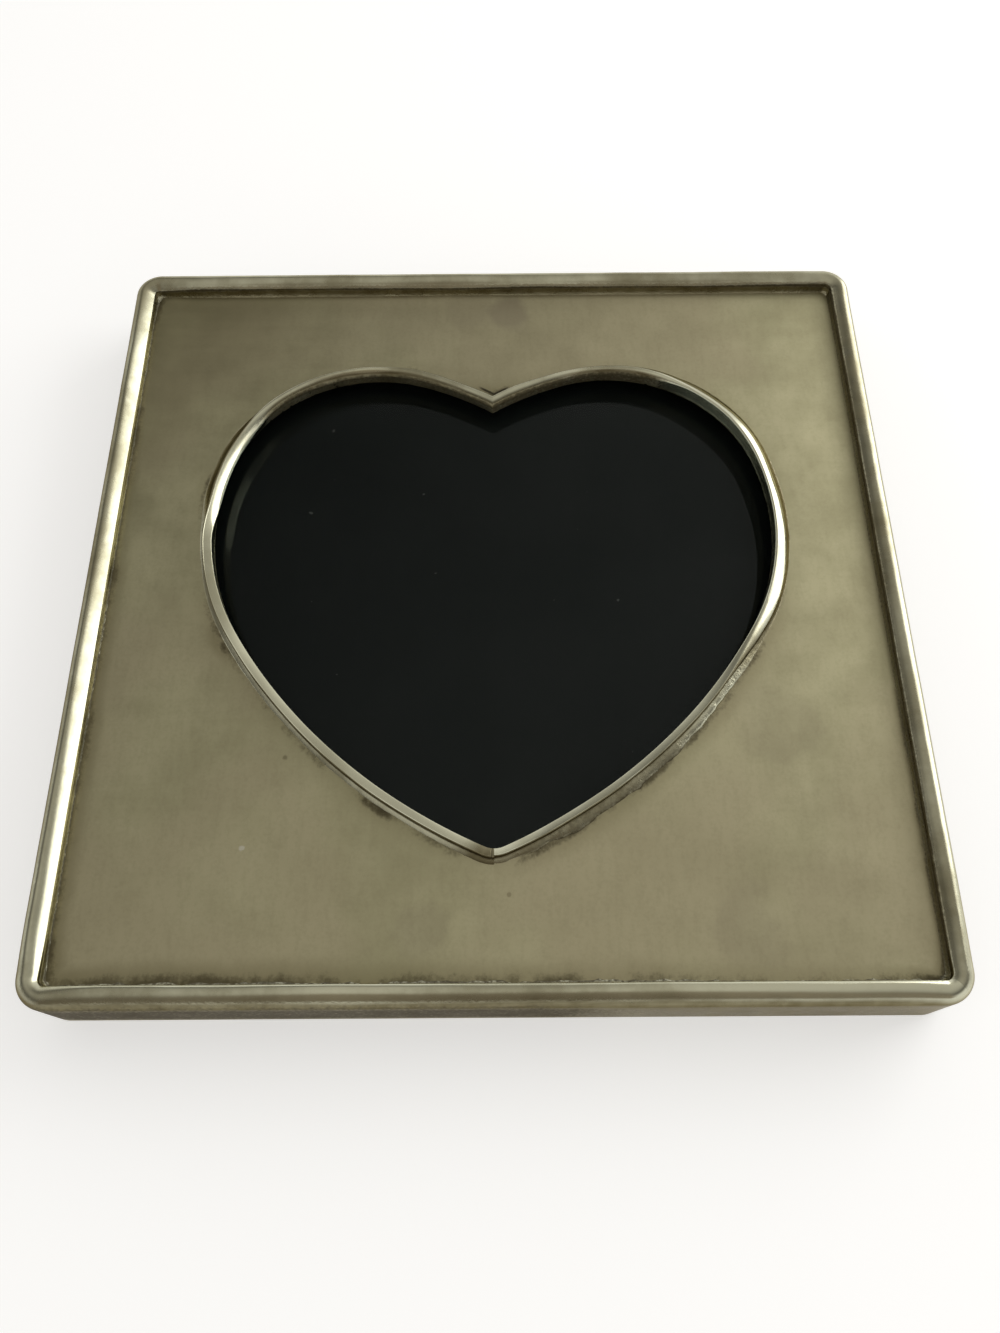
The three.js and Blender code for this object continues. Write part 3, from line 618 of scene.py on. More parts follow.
def rail_mesh(side):
    """A rail: wall, sloping rim, the rough bead of solder along the plate and the ledge."""
    quarter = SIDES.index(side)
    at_front = side == "bottom"
    angles, ends = rail_stations()
    travel = ends + CORNER_RADIUS * (angles - math.radians(270))
    from_corner = HALF - np.abs(travel)
    turns = (quarter + np.clip((travel + HALF) / (2 * HALF), 0, 1)) / 4
    own = SimpleNamespace(**{name: blended(values, quarter, travel) for name, values in RAIL_SIDES.items()})

    def wave(length, seed):
        """Smooth random numbers along the rail, in waves of about this length."""
        return waver(turns, length, GIRTH, seed)

    # On the front rail the painted brown reflection and shade on the top, shoulder and wall fade out towards
    # the right.
    less_shaded_half = eased((travel - SHADE_FADE_FROM) / SHADE_FADE_EASE) * at_front
    top_tarnish = own.top_tarnish * (1 - 0.7 * less_shaded_half)
    outer_soil = own.outer_soil * (1 - less_shaded_half)
    wall_soil = 0.18 + 0.5 * outer_soil + 0.40 * (1 - less_shaded_half) * at_front
    rubbed = hump(from_corner, 0.0, RUBBED_REACH)
    mitre = np.maximum(0, 1 - from_corner / MITRE_REACH) ** 2
    mitre = mitre * np.where(travel < 0, CORNER_BLOBS[quarter], CORNER_BLOBS[(quarter + 1) % 4])
    lumps = (0.6 * wave(3.0, 3.1) + 0.8 * wave(1.1, 8.4)) * (own.bead_lumps + 0.5 * mitre)
    swell = wave(18.0, 5.7)
    reach = np.maximum(0.25, own.bead_reach * (1 + 0.45 * lumps + 0.35 * swell) + 0.8 * mitre)
    bulge = 0.10 * lumps
    edge_shift = 0.10 * wave(13.0, 1.3) + 0.04 * wave(4.0, 2.9)
    top_shift = 0.06 * wave(17.0, 6.2) - 0.06
    lean = own.lean + 0.18 * wave(24.0, 9.9)
    bead_top = PLATE_FRONT + own.bead_height * (1 + 0.12 * swell) + 0.3 * mitre
    cos, sin = round(math.cos(quarter * math.pi / 2)), round(math.sin(quarter * math.pi / 2))
    lines = []

    def add(inset, level, soil_and_shade, tarnish_and_shade, follow=0.0):
        """One line along the rail; follow is how much of the rim's wandering it takes part in."""
        inset = np.broadcast_to(inset + follow * edge_shift, ends.shape)
        x, y = rail_line(angles, ends, inset)
        level = level + follow * top_shift
        lines.append(station_line(cos * x - sin * y, sin * x + cos * y, level, soil_and_shade, tarnish_and_shade))

    add(FOOT_EDGE, 0.0, 0.35, 0.7)
    add(0.0, FOOT_EDGE, 0.3, 0.9 - 0.35 * rubbed)
    # Tarnish on the outer wall: partly a painted brown reflection.
    for level in np.linspace(WALL_START, RIM_TOP - max(RAIL_SIDES["shoulder"]), 6)[:-1]:
        add(0.0, level, wall_soil, 1.12 - 0.01 * level - 0.40 * rubbed)
    for inset, level, tilt in rim_section(own.shoulder):
        inward = math.sin(tilt)
        outward = inward**2 * (inward < 0)
        # Tarnish and soil here are partly painted shade, set by how each face turns to the light.
        tarnish_and_shade = own.outer_tarnish * outward + own.inner_tarnish * max(0.0, inward) ** 2.5
        tarnish_and_shade = tarnish_and_shade + top_tarnish * max(0.0, math.cos(2 * (tilt - 0.05)))
        leaned = level - lean * np.maximum(0.0, inset - own.shoulder)
        soil_and_shade = 0.05 + outer_soil * outward + own.inner_soil * eased((inward - 0.45) / 0.3)
        add(inset, leaned, soil_and_shade, tarnish_and_shade, math.cos(tilt))
    add(RIM_WIDTH, bead_top + 0.2, 0.4 * own.joint_soil, 0.3 + 0.7 * own.inner_tarnish)
    add(RIM_WIDTH - 0.05, bead_top + 0.04, 1.1 * own.joint_soil, own.joint_soil)
    for share in np.linspace(0.06, 1, 9):
        turn = share * math.pi / 2
        inset = RIM_WIDTH + reach * (1 - math.cos(turn))
        fall = (bead_top - PLATE_FRONT) * math.sin(turn) ** 1.1
        level = bead_top - fall - BEAD_SINK * turn + bulge * math.sin(2 * turn)
        soil_and_shade = own.bead_soil + own.foot_soil * eased((share - 0.3) / 0.4)
        soil_and_shade = soil_and_shade + 0.4 * own.joint_soil * max(0.0, 0.12 - share) / 0.12
        add(inset, level, soil_and_shade, own.bead_tarnish * (0.9 - 0.3 * share))
    add(RIM_WIDTH - 0.1, PLATE_FRONT - 2 * BEAD_SINK, 1.0, 1.0)
    add(RIM_WIDTH - 0.1, PLATE_BACK, 0.5, 0.8)
    add(LEDGE_REACH, PLATE_BACK, 0.4, 0.8)
    add(LEDGE_REACH, BOARD_BACK, 0.4, 0.8)
    add(WALL, BOARD_BACK, 0.5, 0.8)
    add(WALL, FOOT_EDGE, 0.4, 0.8)
    add(WALL - FOOT_EDGE, 0.0, 0.35, 0.8)
    return swept_mesh(f"{side}_rail", lines)


# Heart

HEART_STEP = 0.8
HEART_GIRTH = 330.0


def unit(angle):
    return np.array((math.cos(angle), math.sin(angle)))


def heart_arcs():
    """Centre, radius, first and last angle of each arc, from the notch to the tip."""
    flank = LOBE_CENTRE + (LOBE_RADIUS - NOTCH_FLANK_RADIUS) * unit(LOBE_START)
    side = LOBE_CENTRE + (LOBE_RADIUS - SIDE_RADIUS) * unit(SIDE_START)
    lower = side + (SIDE_RADIUS - LOWER_FLANK_RADIUS) * unit(LOWER_FLANK_START)
    drop = math.sqrt((LOWER_FLANK_RADIUS - TIP_RADIUS) ** 2 - lower[0] ** 2)
    tip = np.array((0.0, lower[1] - drop))
    tip_start = math.atan2(-drop, -lower[0])
    notch = math.acos(-flank[0] / NOTCH_FLANK_RADIUS)
    return [
        (flank, NOTCH_FLANK_RADIUS, notch, LOBE_START),
        (LOBE_CENTRE, LOBE_RADIUS, LOBE_START, SIDE_START),
        (side, SIDE_RADIUS, SIDE_START, LOWER_FLANK_START),
        (lower, LOWER_FLANK_RADIUS, LOWER_FLANK_START, tip_start),
        (tip, TIP_RADIUS, tip_start, -math.pi / 2),
    ]


def heart_stations():
    """A row for each station of the right half: centre x and y, radius, first and last angle, share, arc."""
    rows = []
    for number, (centre, radius, first, last) in enumerate(heart_arcs()):
        steps = max(10, round(radius * abs(last - first) / HEART_STEP))
        for share in np.linspace(0, 1, steps + 1)[1 if number else 0:]:
            rows.append((*centre, radius, first, last, share, number))
    return np.array(rows)


STATIONS = heart_stations()


def heart_line(offset):
    """The right half moved outwards by an offset, which may differ along it; it ends on x = 0."""
    x, y, radius, first, last, share, number = STATIONS.T
    radius = radius + offset
    notch = np.arccos(np.clip(-x / radius, -1, 1))
    angle = np.where(number == 0, notch, first)
    angle = angle + (last - angle) * share
    return x + radius * np.cos(angle), y + radius * np.sin(angle)


def heart_turns():
    """How far round the heart each station of the right half is: 0 at the notch, 0.5 at the tip."""
    x, y = heart_line(0.0)
    steps = np.hypot(np.diff(x), np.diff(y))
    travel = np.concatenate(([0], np.cumsum(steps)))
    return 0.5 * travel / travel[-1]


# Bezel

# Each section: its tilts, and the sizes of its inner edge, facet, crest and outer slope
TOP_SECTION = ((90, 62, 14, -50, -85), (1.0, 1.0, 0.55, 0.1))
SECTION_STEPS = (6, 7, 4, 8)
LEAN_BELOW_TOP = 1.0
NOTCH_Y, NOTCH_REACH = 43.0, 5.0
TIP_REACH = 5.0
LAP_AT, LAP_REACH = 0.35, 0.3
CLEAN_STREAK_AT, CLEAN_STREAK_LENGTH = 118.0, 9.0
TWIST_AT, TWIST_LENGTH = 83.0, 7.0

# What differs between the halves. The side starts at a length along the strip and the flank at a height, each
# easing in; a glint is given by its place along the strip and its length.
BEZEL_HALVES = {
    "right": SimpleNamespace(
        side_from=30.0, side_ease=14.0, flank_from=-4.0, flank_ease=18.0, glints=((17.0, 3.0), (42.0, 4.0)),
        rough=0.95, run_out=1.2, wall_soil=0.85, joint_soil=0.45,
        side_section=((90, 25, -5, -14, -44), (0.3, 0.15, 0.4, 1.75)),
        flank_section=((90, 24, 19, -35, -78), (0.15, 1.1, 0.2, 0.12)),
    ),
    "left": SimpleNamespace(
        side_from=46.0, side_ease=12.0, flank_from=22.0, flank_ease=12.0, glints=((27.0, 4.0),),
        rough=0.35, run_out=1.9, wall_soil=0.66, joint_soil=0.72,
        side_section=((90, 54, 33, -25, -56), (0.4, 1.6, 0.3, 0.5)),
        flank_section=((90, 20, 14, -35, -78), (0.15, 1.35, 0.2, 0.12)),
    ),
}

# Blots of dirt along the bezel: x, y, size and soil; a negative soil is a cleaner place
BEZEL_BLOTS = (
    (-49.0, -10.5, 3.4, 1.20),
    (-20.0, -41.5, 5.0, 0.30),
    (-54.5, 24.0, 6.0, 0.35),
    (2.0, -51.5, 5.0, -0.50),
)


def bezel_dirt_and_shade(x, y):
    """How much dirt and painted shade there is along the bezel: most on the lower right and at the notch,
    least on the lobes' tops.
    """
    lower = np.clip((12.0 - y) / 30.0, 0, 1)
    # Painted shade at the notch between the lobes.
    notch = hump(x, 0.0, NOTCH_REACH) * hump(y, NOTCH_Y, NOTCH_REACH)
    blots = sum(soil_and_shade * hump(x, across, size) * hump(y, up, size) for across, up, size, soil_and_shade in BEZEL_BLOTS)
    return np.clip(0.40 + 0.35 * lower + 0.19 * np.sign(x) * lower + 1.25 * notch + blots, 0, 1.6)


def strip_section(tilts, sizes):
    """A bezel section: an inner edge, a facet that leans to the inside, a crest and an outer slope. The edge
    and the crest are given by their radius, the facet and the slope by their width."""
    tilts = np.radians(tilts)
    sines = np.sin(tilts)
    inner, facet, crest, slope = sizes
    radii = (inner, facet / (sines[1] - sines[2]), crest, slope / (sines[3] - sines[4]))
    run = np.array(rounded_run((0.0, 0.0), radii, tilts, SECTION_STEPS, -1))
    run[:, 1] += BEZEL_TOP - run[:, 1].max()
    return run


def bezel_mesh(side):
    """Half of the bezel, a strip wavy from the hammer. It runs out into the plate on the lobes and has a bead
    of solder outside it on the lower flank. The left one leans over the glass at its side. The halves meet
    at the notch and at the tip, where one laps over the other."""
    half = BEZEL_HALVES[side]
    on_left = side == "left"
    hand = -1 if on_left else 1
    turns = 1 - heart_turns() if on_left else heart_turns()
    travel = heart_turns() * HEART_GIRTH
    to_tip = travel[-1] - travel
    heart_x, heart_y = heart_line(BEZEL_WIDTH)
    soiled = bezel_dirt_and_shade(hand * heart_x, heart_y)

    def wave(length, seed):
        """Smooth random numbers along the strip, in waves of about this length."""
        return waver(turns, length, HEART_GIRTH, seed)

    lower = eased((half.flank_from - heart_y) / half.flank_ease)
    beside = eased((travel - half.side_from) / half.side_ease) * (1 - lower)
    top = 1 - beside - lower
    glints = sum(hump(travel, middle, length) for middle, length in half.glints)
    tip = hump(to_tip, 0.0, TIP_REACH)
    streak = hump(travel, CLEAN_STREAK_AT, CLEAN_STREAK_LENGTH) * (not on_left)
    lumps = 0.7 * wave(5.0, 3.3) + 0.6 * wave(2.2, 4.4) + 0.5 * wave(0.9, 9.2)
    swell = wave(16.0, 7.7)
    rough = 0.05 + half.rough * lower
    dirty = 0.25 * lower if on_left else lower * (1 - 0.75 * tip)
    lean = -1.1 * beside * on_left - 0.2 * top
    width_shift = (0.40 * wave(14.0, 1.9) + 0.08 * wave(5.0, 2.4)) * (1 - 0.6 * lower)
    top_shift = 0.22 * wave(15.0, 3.6) - 0.12 - 0.1 * top
    roll = (0.40 - 0.25 * lower - 0.20 * beside) * wave(12.0, 6.6)
    roll = roll - 0.2 * hump(travel, TWIST_AT, TWIST_LENGTH) * on_left
    run_out = 0.7 * top + half.run_out * beside
    bead = np.maximum(0.3, (0.60 + 0.85 * dirty) * (1 + rough * (0.35 * lumps + 0.35 * swell)))
    height = np.maximum(0.08, (0.10 + 0.45 * dirty) * (1 + rough * 0.5 * lumps))
    lap = np.clip(1 - np.abs(to_tip - LAP_AT) / LAP_REACH, 0, 1) * on_left
    wall_soil = half.wall_soil * top
    lines = []

    def add(offset, level, soil_and_shade, tarnish_and_shade):
        """One line along the strip."""
        x, y = heart_line(np.broadcast_to(offset, turns.shape))
        lines.append(station_line(hand * x, y, level, soil_and_shade, tarnish_and_shade))

    def leaned(level):
        """How far the strip leans out of the upright at a level."""
        return lean * np.clip((level - GLASS_FRONT) / (BEZEL_TOP - LEAN_BELOW_TOP - GLASS_FRONT), 0, 1)

    def add_wavy(offset, level, soil_and_shade, tarnish_and_shade, shift, rise):
        """One line that leans with the strip; shift and rise are its shares of the waviness."""
        rolled = roll * (offset - 1.2)
        place = offset + leaned(level) + shift * width_shift
        add(place, level + rise * (top_shift + rolled - 0.08 * lap), soil_and_shade, tarnish_and_shade)

    sections = [strip_section(*shape) for shape in (TOP_SECTION, half.side_section, half.flank_section)]
    places, levels = (
        [sum(share * row[k] for share, row in zip((top, beside, lower), rows)) for rows in zip(*sections)]
        for k in (0, 1)
    )
    add(0.0, PLATE_BACK, 0.5, 0.9)
    for share in (0.25, 0.5, 0.75):
        level = PLATE_BACK + (levels[0] - PLATE_BACK) * share
        add_wavy(0.0, level, wall_soil, 0.35 + 0.5 * top, 0.2 * share, 0.5 * share)
    for offset, level, rows in zip(places, levels, zip(*sections)):
        inward = [math.sin(row[2]) for row in rows]
        outward = [max(0.0, -sine) for sine in inward]
        # Tarnish here is partly painted shade: the lobes' tops and the outer slopes of the left side and the
        # lower flank darken where they turn from the window light, less at the glints.
        on_top = 0.50 * (1 - glints) + 0.7 * eased((inward[0] - 0.45) / 0.3)
        at_side = 1.2 * min(1.0, 3 * outward[1]) * on_left
        tarnish_and_shade = tip * on_left + top * on_top + beside * at_side + lower * 1.5 * outward[2]
        soil_and_shade = 0.05 + 0.8 * lap + wall_soil * eased((inward[0] - 0.55) / 0.35)
        add_wavy(offset, level, soil_and_shade, tarnish_and_shade, 0.2 + 0.4 * offset, 1 - 0.7 * outward[0])
    edge = places[-1] + leaned(levels[-1])
    seat = levels[-1] + (PLATE_FRONT + height - levels[-1]) * lower
    joint = 0.08 + half.joint_soil * lower
    add_wavy(places[-1] - 0.05 * lower, seat + 0.02, joint, 1.0 * top + 0.8 * (beside + lower), 0.9, 0.0)
    browned = 0.35 + 0.6 * tip if on_left else 0.55
    for share in np.linspace(0.1, 1, 9):
        offset = edge + share * (run_out + bead * lower) + 0.9 * (1 - share) * width_shift
        hollow = (seat - PLATE_FRONT) * (1 - share) ** 2
        swelling = height * (1 - share**2) ** 0.6
        level = PLATE_FRONT + (1 - lower) * hollow + lower * swelling - BEAD_SINK * 1.5 * share
        # Soil on the run-out: dirt on the lower flank, and beside the sides partly painted shade.
        soil_and_shade = 0.06 + 0.48 * dirty * (1 - 0.7 * streak) + 0.50 * lower * soiled * share**6
        soil_and_shade = soil_and_shade + 0.30 * beside * (1 - share**2)
        tarnish_and_shade = 0.12 + browned * lower * (1 - streak) + 0.9 * (1 - lower) * (1 - share**4)
        add(offset, level, soil_and_shade, tarnish_and_shade)
    add(BEZEL_WIDTH + 0.02, PLATE_FRONT - 2 * BEAD_SINK, 1.0, 1.0)
    add(BEZEL_WIDTH, PLATE_BACK, 0.6, 1.0)
    return swept_mesh(f"{side}_bezel", lines)


# Plate

BEZEL_ROWS = (0.0, 0.7, 1.4, 2.2, 3.2, 4.6)
RIM_ROWS = (9.0, 6.0, 4.4, 3.2, 2.3, 1.6, 1.0, 0.5, 0.0)
MIDDLE_ROWS = 9
PLATE_CORNER = 1.3
DIP_LENGTH, DIP_DEPTH = 26.0, 0.05
RISE_REACH = 5.0


def plate_square(x, y, gap):
    """Where rays from the middle through the points meet the plate's edge, moved inwards by a gap."""
    half = PLATE_HALF - gap
    scale = half / np.maximum(np.abs(x), np.abs(y))
    x, y = x * scale, y * scale
    radius = max(PLATE_CORNER - gap, 0.0)
    centre = half - radius
    dx, dy = np.abs(x) - centre, np.abs(y) - centre
    far = np.hypot(dx, dy)
    cut = (dx > 0) & (dy > 0) & (far > radius)
    pull = np.where(cut, radius / np.maximum(far, 1e-6), 1.0)
    x = np.where(cut, np.sign(x) * (centre + dx * pull), x)
    y = np.where(cut, np.sign(y) * (centre + dy * pull), y)
    return x, y


def whole_heart(offset):
    x, y = heart_line(offset)
    return np.concatenate((x, -x[-2:0:-1])), np.concatenate((y, y[-2:0:-1]))


# Along each rail, in the order of SIDES: how narrow its band of dirt and painted shade is and how far the
# plate turns up
DIRT_AND_SHADE_NARROWING = (1.35, 4.2, 3.0, 2.0)
EDGE_RISE = (0.0, 0.25, 0.45, 0.0)


def rim_gap(x, y):
    """How far places on the plate are from the rim."""
    return HALF - RIM_WIDTH - np.maximum(np.abs(x), np.abs(y))


def rim_shares(x, y):
    """How much each of the four rails counts at places on the plate, the nearest one most."""
    gaps = np.column_stack((HALF + y, HALF - x, HALF - y, HALF + x))
    weights = 1 / np.maximum(gaps - RIM_WIDTH, 0.3) ** 2
    return weights / weights.sum(1, keepdims=True)


def rim_dirt_and_shade(x, y):
    """How much dirt and painted shade the plate has along the rim: most at the bottom left and the lower
    right, with painted shade in the top-left corner.
    """
    left_part = np.clip((30.0 - x) / 60.0, 0, 1)
    low_part = np.clip((30.0 - y) / 80.0, 0, 1)
    bottom = 0.70 + 0.30 * left_part
    right = 0.52 + 0.25 * low_part
    top = np.full_like(x, 0.25)
    left = 0.74 + 0.20 * low_part
    soil_and_shade = (rim_shares(x, y) * np.column_stack((bottom, right, top, left))).sum(1)
    low_corners = np.exp(-((np.abs(x) - 70) ** 2 + (y + 70) ** 2) / 30.0)
    # Painted shade in the top-left corner
    top_left_shade = np.exp(-((x + 74) ** 2 + (y - 74) ** 2) / 250.0)
    return np.clip(soil_and_shade + 0.3 * low_corners + 0.5 * top_left_shade, 0, 1.2)


def plate_mesh():
    """The plate: rows of points from the bezel out to the rim, and two at the back."""
    rows = [whole_heart(BEZEL_WIDTH + SOLDER_GAP + extra) for extra in BEZEL_ROWS]
    last_x, last_y = rows[-1]
    first_x, first_y = plate_square(last_x, last_y, RIM_ROWS[0])
    for share in np.linspace(0, 1, MIDDLE_ROWS + 2)[1:-1]:
        rows.append((last_x + (first_x - last_x) * share, last_y + (first_y - last_y) * share))
    rows += [plate_square(last_x, last_y, gap) for gap in RIM_ROWS]
    around = len(last_x)
    x, y = (np.concatenate([row[axis] for row in rows]) for axis in (X, Y))
    dips = np.array([noise.noise(Vector((a / DIP_LENGTH, b / DIP_LENGTH, 0.7))) for a, b in zip(x, y)])
    rise = np.maximum(0, 1 - rim_gap(x, y) / RISE_REACH) ** 2 * (rim_shares(x, y) * EDGE_RISE).sum(1)
    top = np.column_stack((x, y, PLATE_FRONT + DIP_DEPTH * dips + rise))
    back = [np.column_stack((*row, np.full(around, PLATE_BACK))) for row in (rows[-1], rows[0])]
    points = np.concatenate((top, *back))
    x, y, _ = points.T
    heart_x, heart_y = whole_heart(BEZEL_WIDTH)
    attributes = {
        "rim_gap": rim_gap(x, y) * (rim_shares(x, y) * DIRT_AND_SHADE_NARROWING).sum(1),
        "rim_dirt_and_shade": rim_dirt_and_shade(x, y),
        "bezel_gap": np.hypot(x[:, None] - heart_x, y[:, None] - heart_y).min(1),
        "bezel_dirt_and_shade": bezel_dirt_and_shade(x, y),
    }
    faces = grid_faces(len(rows) + len(back), around, True, True)
    return make_mesh("pewter_plate", points, faces, attributes)


# Flat pieces cut from sheet

def rounded_square(half, radius):
    corners = [(1, 1, 0), (-1, 1, 90), (-1, -1, 180), (1, -1, 270)]
    centre = half - radius
    arcs = [arc((a * centre, b * centre), radius, turn, turn + 90, 6) for a, b, turn in corners]
    return np.concatenate(arcs)


def round_hole(x, y, radius):
    return arc((x, y), radius, 0, 360, 32)[:-1]


def cut_sheet(name, outlines, back, front, edge):
    """A sheet between two heights, cut to its first outline, with the others as holes and rounded edges."""
    curve = bpy.data.curves.new(name, "CURVE")
    curve.dimensions = "2D"
    curve.fill_mode = "BOTH"
    curve.extrude = ((front - back) / 2 - edge) * MM
    curve.bevel_depth = edge * MM
    curve.bevel_resolution = 2
    curve.offset = -edge * MM
    for outline in outlines:
        spline = curve.splines.new("POLY")
        spline.points.add(len(outline) - 1)
        spline.use_cyclic_u = True
        for point, (x, y) in zip(spline.points, outline):
            point.co = (x * MM, y * MM, 0.0, 1.0)
    mesh = settle(bpy.data.objects.new(name, curve))
    mesh.transform(Matrix.Translation((0, 0, (back + front) / 2 * MM)))
    return tidy_mesh(mesh, merge=0.01)


def leg_outline():
    """The leg widens from the hinge to its foot; each corner is a short curve that starts 4 mm before it."""
    soft = 4.0
    foot_half, top_half = 25.0, 17.0
    corners = np.array(
        [(-foot_half, LEG_FOOT), (foot_half, LEG_FOOT), (top_half, LEG_TOP), (-top_half, LEG_TOP)]
    )
    outline = []
    for i, corner in enumerate(corners):
        before, after = corners[i - 1] - corner, corners[(i + 1) % 4] - corner
        start = corner + before * soft / np.linalg.norm(before)
        end = corner + after * soft / np.linalg.norm(after)
        for t in np.linspace(0, 1, 9):
            outline.append((1 - t) ** 2 * start + 2 * t * (1 - t) * corner + t**2 * end)
    return np.array(outline)


def button_outline(x, y, hand):
    tangent = math.degrees(math.acos((BUTTON_ROUND - BUTTON_TIP) / BUTTON_ARM))
    round_end = arc((0, 0), BUTTON_ROUND, tangent, 360 - tangent, 28)
    tip = arc((BUTTON_ARM, 0), BUTTON_TIP, -tangent, tangent, 16)
    return np.concatenate((round_end, tip)) * (hand, hand) + (x, y)


# Hinge

HINGE_Z = (LEG_LEAF_BACK + BOARD_LEAF_FRONT) / 2
KNUCKLE_RADIUS = BOARD_LEAF_FRONT - HINGE_Z
CURL_STEPS = 24
CURL_TURN = math.radians(295)
TAIL_STEPS = 12
FLAT_ROWS = 6
LEAF_CELL = 1.2
LEAF_EDGE = 0.12
PIN_DOME = 0.45
PIN_SIDES = 32


def leaf_mesh(name, towards, fingers):
    """A hinge leaf as a flat blank that is then curled round the pin. towards is +1 for the leaf that runs to
    +Y and lies on the board. fingers are (from x, to x, kind): a curl goes round the pin, a tail runs on
    straight and a gap stops short of the pin."""
    middle = KNUCKLE_RADIUS - LEAF_THICKNESS / 2
    clear = -(KNUCKLE_RADIUS + KNUCKLE_GAP)
    last_rows = {"curl": FLAT_ROWS + 1 + CURL_STEPS, "tail": FLAT_ROWS + 1 + TAIL_STEPS, "gap": FLAT_ROWS - 1}
    run = CURL_TURN * middle / CURL_STEPS

    def row_places(x):
        over = max(0.0, abs(x) - (HINGE_HALF - LEAF_CORNER))
        far = -LEAF_LENGTH + LEAF_CORNER - math.sqrt(LEAF_CORNER**2 - over**2)
        return [*np.linspace(far, clear, FLAT_ROWS), clear / 2, 0.0, *(run * np.arange(1, CURL_STEPS + 1))]

    def bend(x, place, depth, kind):
        out = KNUCKLE_RADIUS - depth
        if place <= 0 or kind == "tail":
            return x, HINGE_Y - towards * place, HINGE_Z + towards * out
        turn = place / middle
        return x, HINGE_Y - towards * out * math.sin(turn), HINGE_Z + towards * out * math.cos(turn)

    points, index, cells = [], {}, []

    def vertex(x, row, kind, depth):
        key = (round(x, 4), row, depth)
        if key not in index:
            index[key] = len(points)
            points.append(bend(x, row_places(x)[row], depth, kind))
        return index[key]

    for start, end, kind in fingers:
        lines = np.linspace(start, end, max(1, round((end - start) / LEAF_CELL)) + 1)
        for a, b in zip(lines[:-1], lines[1:]):
            for row in range(last_rows[kind]):
                cells.append([(a, row, kind), (b, row, kind), (b, row + 1, kind), (a, row + 1, kind)])
    faces, rims = [], {}
    for cell in cells:
        outer = [vertex(*corner, 0.0) for corner in cell]
        inner = [vertex(*corner, LEAF_THICKNESS) for corner in cell]
        faces += [tuple(outer), tuple(reversed(inner))]
        for i in range(4):
            edge = (outer[i], outer[(i + 1) % 4])
            rims.setdefault(frozenset(edge), []).append((*edge, inner[(i + 1) % 4], inner[i]))
    faces += [walls[0][::-1] for walls in rims.values() if len(walls) == 1]
    blank = bpy.data.objects.new(name, make_mesh(name, points, faces))
    rounding = blank.modifiers.new("edges", "BEVEL")
    rounding.width = LEAF_EDGE * MM
    rounding.segments = 2
    rounding.limit_method = "ANGLE"
    rounding.angle_limit = math.radians(50)
    return tidy_mesh(settle(blank))


def board_leaf():
    inner = KNUCKLE_HALF + KNUCKLE_GAP / 2
    fingers = [(-HINGE_HALF, -inner, "curl"), (-inner, inner, "gap"), (inner, HINGE_HALF, "curl")]
    return leaf_mesh("board_leaf", 1, fingers)


def leg_leaf():
    outer = KNUCKLE_HALF - KNUCKLE_GAP / 2
    tail, slit = 1.3, 0.25
    fingers = [
        (-HINGE_HALF, -outer, "gap"),
        (-outer, -tail - slit, "curl"),
        (-tail - slit, -tail, "gap"),
        (-tail, tail, "tail"),
        (tail, tail + slit, "gap"),
        (tail + slit, outer, "curl"),
        (outer, HINGE_HALF, "gap"),
    ]
    return leaf_mesh("leg_leaf", -1, fingers)


def pin_mesh():
    """The pin, with domed ends."""
    start, end = span("hinge_pin", X)
    dome = np.linspace(0.25, math.pi / 2, 6)
    left = [(PIN_RADIUS * math.sin(turn), start + PIN_DOME * (1 - math.cos(turn))) for turn in dome]
    profile = [*left, *((radius, end - (along - start)) for radius, along in reversed(left))]
    points = []
    for radius, along in profile:
        for turn in np.linspace(0, 2 * math.pi, PIN_SIDES, endpoint=False):
            points.append((along, HINGE_Y + radius * math.cos(turn), HINGE_Z + radius * math.sin(turn)))
    faces = grid_faces(len(profile), PIN_SIDES, False, True)
    faces.append(tuple(range(PIN_SIDES)))
    faces.append(tuple(reversed(range(len(points) - PIN_SIDES, len(points)))))
    return make_mesh("hinge_pin_domed", points, faces)


# Rivets and screws

FASTENER_SIZES = (
    "Head Radius", "Head Height", "Fullness", "Shank Radius", "Shank Length", "Slot Width", "Slot Depth"
)
FASTENER_INPUTS = {
    **dict.fromkeys(FASTENER_SIZES, "NodeSocketFloat"),
    "Turn Seed": "NodeSocketInt",
    "Finish": "NodeSocketMaterial",
}
HEAD_SEGMENTS = 32
HEAD_RINGS = 24
RIVET = {"Head Radius": 2.1, "Head Height": 0.5, "Shank Radius": 1.1}
SCREW = {"Head Radius": 2.2, "Head Height": 1.2, "Shank Radius": 1.0, "Slot Width": 0.6, "Slot Depth": 0.6}


